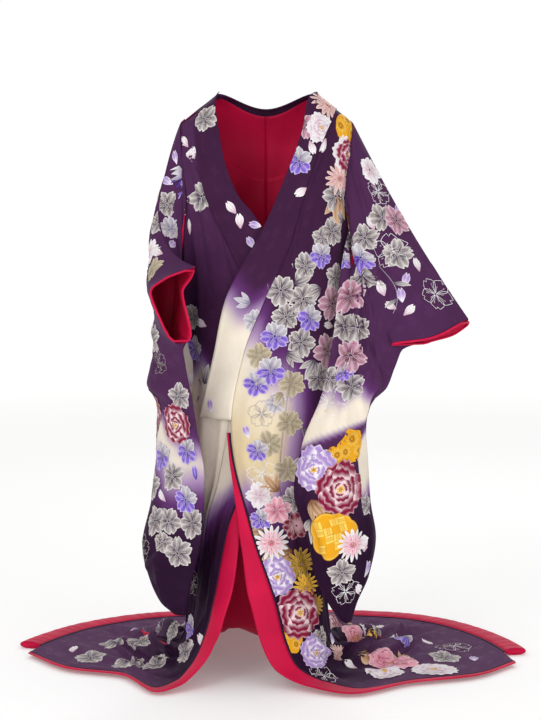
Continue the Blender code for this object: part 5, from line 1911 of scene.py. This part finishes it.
def knotTree():
    # a small silk knot on every point, each sized its own way
    tree, nodes, inputs = newTree("silkKnots", {"Radius": "Float", "Seed": "Int"}, {
        "knot": "GeometryNodeMeshIcoSphere", "place": "GeometryNodeInstanceOnPoints",
        "size": "FunctionNodeRandomValue", "points": "GeometryNodeMeshToPoints",
    })
    nodes["knot"].inputs["Subdivisions"].default_value = 1
    nodes["size"].data_type = "FLOAT"
    for entry, value in zip((2, 3), embroiderySettings["knotSizes"]):
        nodes["size"].inputs[entry].default_value = value
    joinNodes(tree, nodes, (
        ("start", "Geometry", "points", "Mesh"), ("start", "Radius", "knot", "Radius"),
        ("start", "Seed", "size", "Seed"), ("points", "Points", "place", "Points"),
        ("knot", "Mesh", "place", "Instance"), ("size", 1, "place", "Scale"),
        ("place", "Instances", "real", "Geometry"),
    ))
    return tree, inputs


def dropLoose(mesh):
    work = bmesh.new()
    work.from_mesh(mesh)
    loose = [v for v in work.verts if not v.link_faces]
    bmesh.ops.delete(work, geom=loose, context="VERTS")
    work.to_mesh(mesh)
    work.free()


knotNodes = knotTree()
knotValues = {"Radius": embroiderySettings["knot"], "Seed": embroiderySettings["knotSeed"]}
for name, region in regions.items():
    laid = {key: np.concatenate(region[key]) for key in ("places", "faces", "colours", "uv")}
    faces = laid["faces"].tolist()
    mesh = buildMesh("embroidery" + name, laid["places"], faces, (embroidery,), laid["colours"], laid["uv"])
    dropLoose(mesh)
    enter(addObject("embroidery" + name, mesh), "plum_satin")
    if region["knots"]:
        enter(grow("knots" + name, region["knots"], [], knotNodes, knotSilk, knotValues), "plum_satin")
    print("embroidery", name, len(faces), "faces", len(region["knots"]), "knots")


# Floor, light and camera

floorSettings = {
    "reach": 60.0, "paint": 0.9, "roughness": 0.9, "shine": 0.1, "fadeStart": 2.2, "fadeLength": 5.0,
}

# Each lamp's place, what it points at, its size and its power
lamps = {
    "keyLight": ((-1.8, -3.4, 1.6), (0, 0, -0.6), 1.6, 34),
    "fillLight": ((2.2, -3.4, 0.2), (0, 0, -0.7), 2.2, 24),
    "lowLight": ((-0.9, -4.2, -0.7), (0, 0, -0.9), 1.8, 26),
    "backLight": ((0.6, 3.2, 1.8), (0, 0, -0.5), 1.8, 26),
}


def paleFloor():
    # far from the robe the floor melts into the backdrop
    made = bpy.data.materials.new("paleFloor")
    made.use_nodes = True
    shader = made.node_tree.nodes["Principled BSDF"].inputs
    make = nodeMaker(made.node_tree)
    shader["Roughness"].default_value = floorSettings["roughness"]
    shader["Specular IOR Level"].default_value = floorSettings["shine"]
    shader["Emission Color"].default_value = (1, 0.998, 0.996, 1)
    place = make.node("ShaderNodeTexCoord").outputs["Object"]
    distance = make.node("ShaderNodeVectorMath", {0: place}, operation="LENGTH").outputs["Value"]
    share = make.maths("SUBTRACT", distance, floorSettings["fadeStart"])
    share = make.maths("DIVIDE", share, floorSettings["fadeLength"], clamp=True)
    for entry, near, far in (("Emission Strength", studioSettings["floorGlow"], studioSettings["backdrop"]),
                             ("Base Color", floorSettings["paint"], 0.0)):
        fade = make.node("ShaderNodeMapRange", {"Value": share, "To Min": near, "To Max": far})
        make.feed(fade.outputs[0], shader[entry])
    return made


def floorPiece():
    mesh = bpy.data.meshes.new("studioFloor")
    reach = floorSettings["reach"]
    corners = [(-reach, -reach), (reach, -reach), (reach, reach), (-reach, reach)]
    mesh.from_pydata([(x, y, studioSettings["floor"]) for x, y in corners], [], [(0, 1, 2, 3)])
    mesh.materials.append(paleFloor())
    addObject("studioFloor", mesh)


def areaLight(name, place, aim, size, power):
    lamp = bpy.data.lights.new(name, "AREA")
    lamp.size = size
    lamp.energy = power
    made = addObject(name, lamp)
    made.location = place
    made.rotation_euler = (Vector(aim) - Vector(place)).to_track_quat("-Z", "Y").to_euler()


def sky():
    # soft light from all round, behind a backdrop that only the camera sees
    world = bpy.data.worlds.new("studioSky")
    world.use_nodes = True
    nodes = world.node_tree.nodes
    make = nodeMaker(world.node_tree)
    make.feed((1.0, 0.995, 0.99, 1), nodes["Background"].inputs["Color"])
    make.feed(studioSettings["skyLight"], nodes["Background"].inputs["Strength"])
    white = {"Color": (1, 1, 1, 1), "Strength": studioSettings["backdrop"]}
    backdrop = make.node("ShaderNodeBackground", white).outputs[0]
    seen = make.node("ShaderNodeLightPath").outputs["Is Camera Ray"]
    sources = {"Fac": seen, 1: nodes["Background"].outputs[0], 2: backdrop}
    make.feed(make.node("ShaderNodeMixShader", sources).outputs[0], nodes["World Output"].inputs["Surface"])
    bpy.context.scene.world = world


def studio():
    floorPiece()
    sky()
    for name, lamp in lamps.items():
        areaLight(name, *lamp)
    lens = bpy.data.cameras.new("camera")
    lens.lens = studioSettings["lens"]
    lens.sensor_width = 36
    lens.shift_x = studioSettings["shift"]
    camera = addObject("camera", lens)
    camera.location = (0, -studioSettings["distance"], studioSettings["height"])
    camera.rotation_euler = (math.radians(90 - studioSettings["pitch"]), 0, 0)
    bpy.context.scene.camera = camera


studio()
bpy.context.scene.view_settings.view_transform = "Standard"
print("studio made")
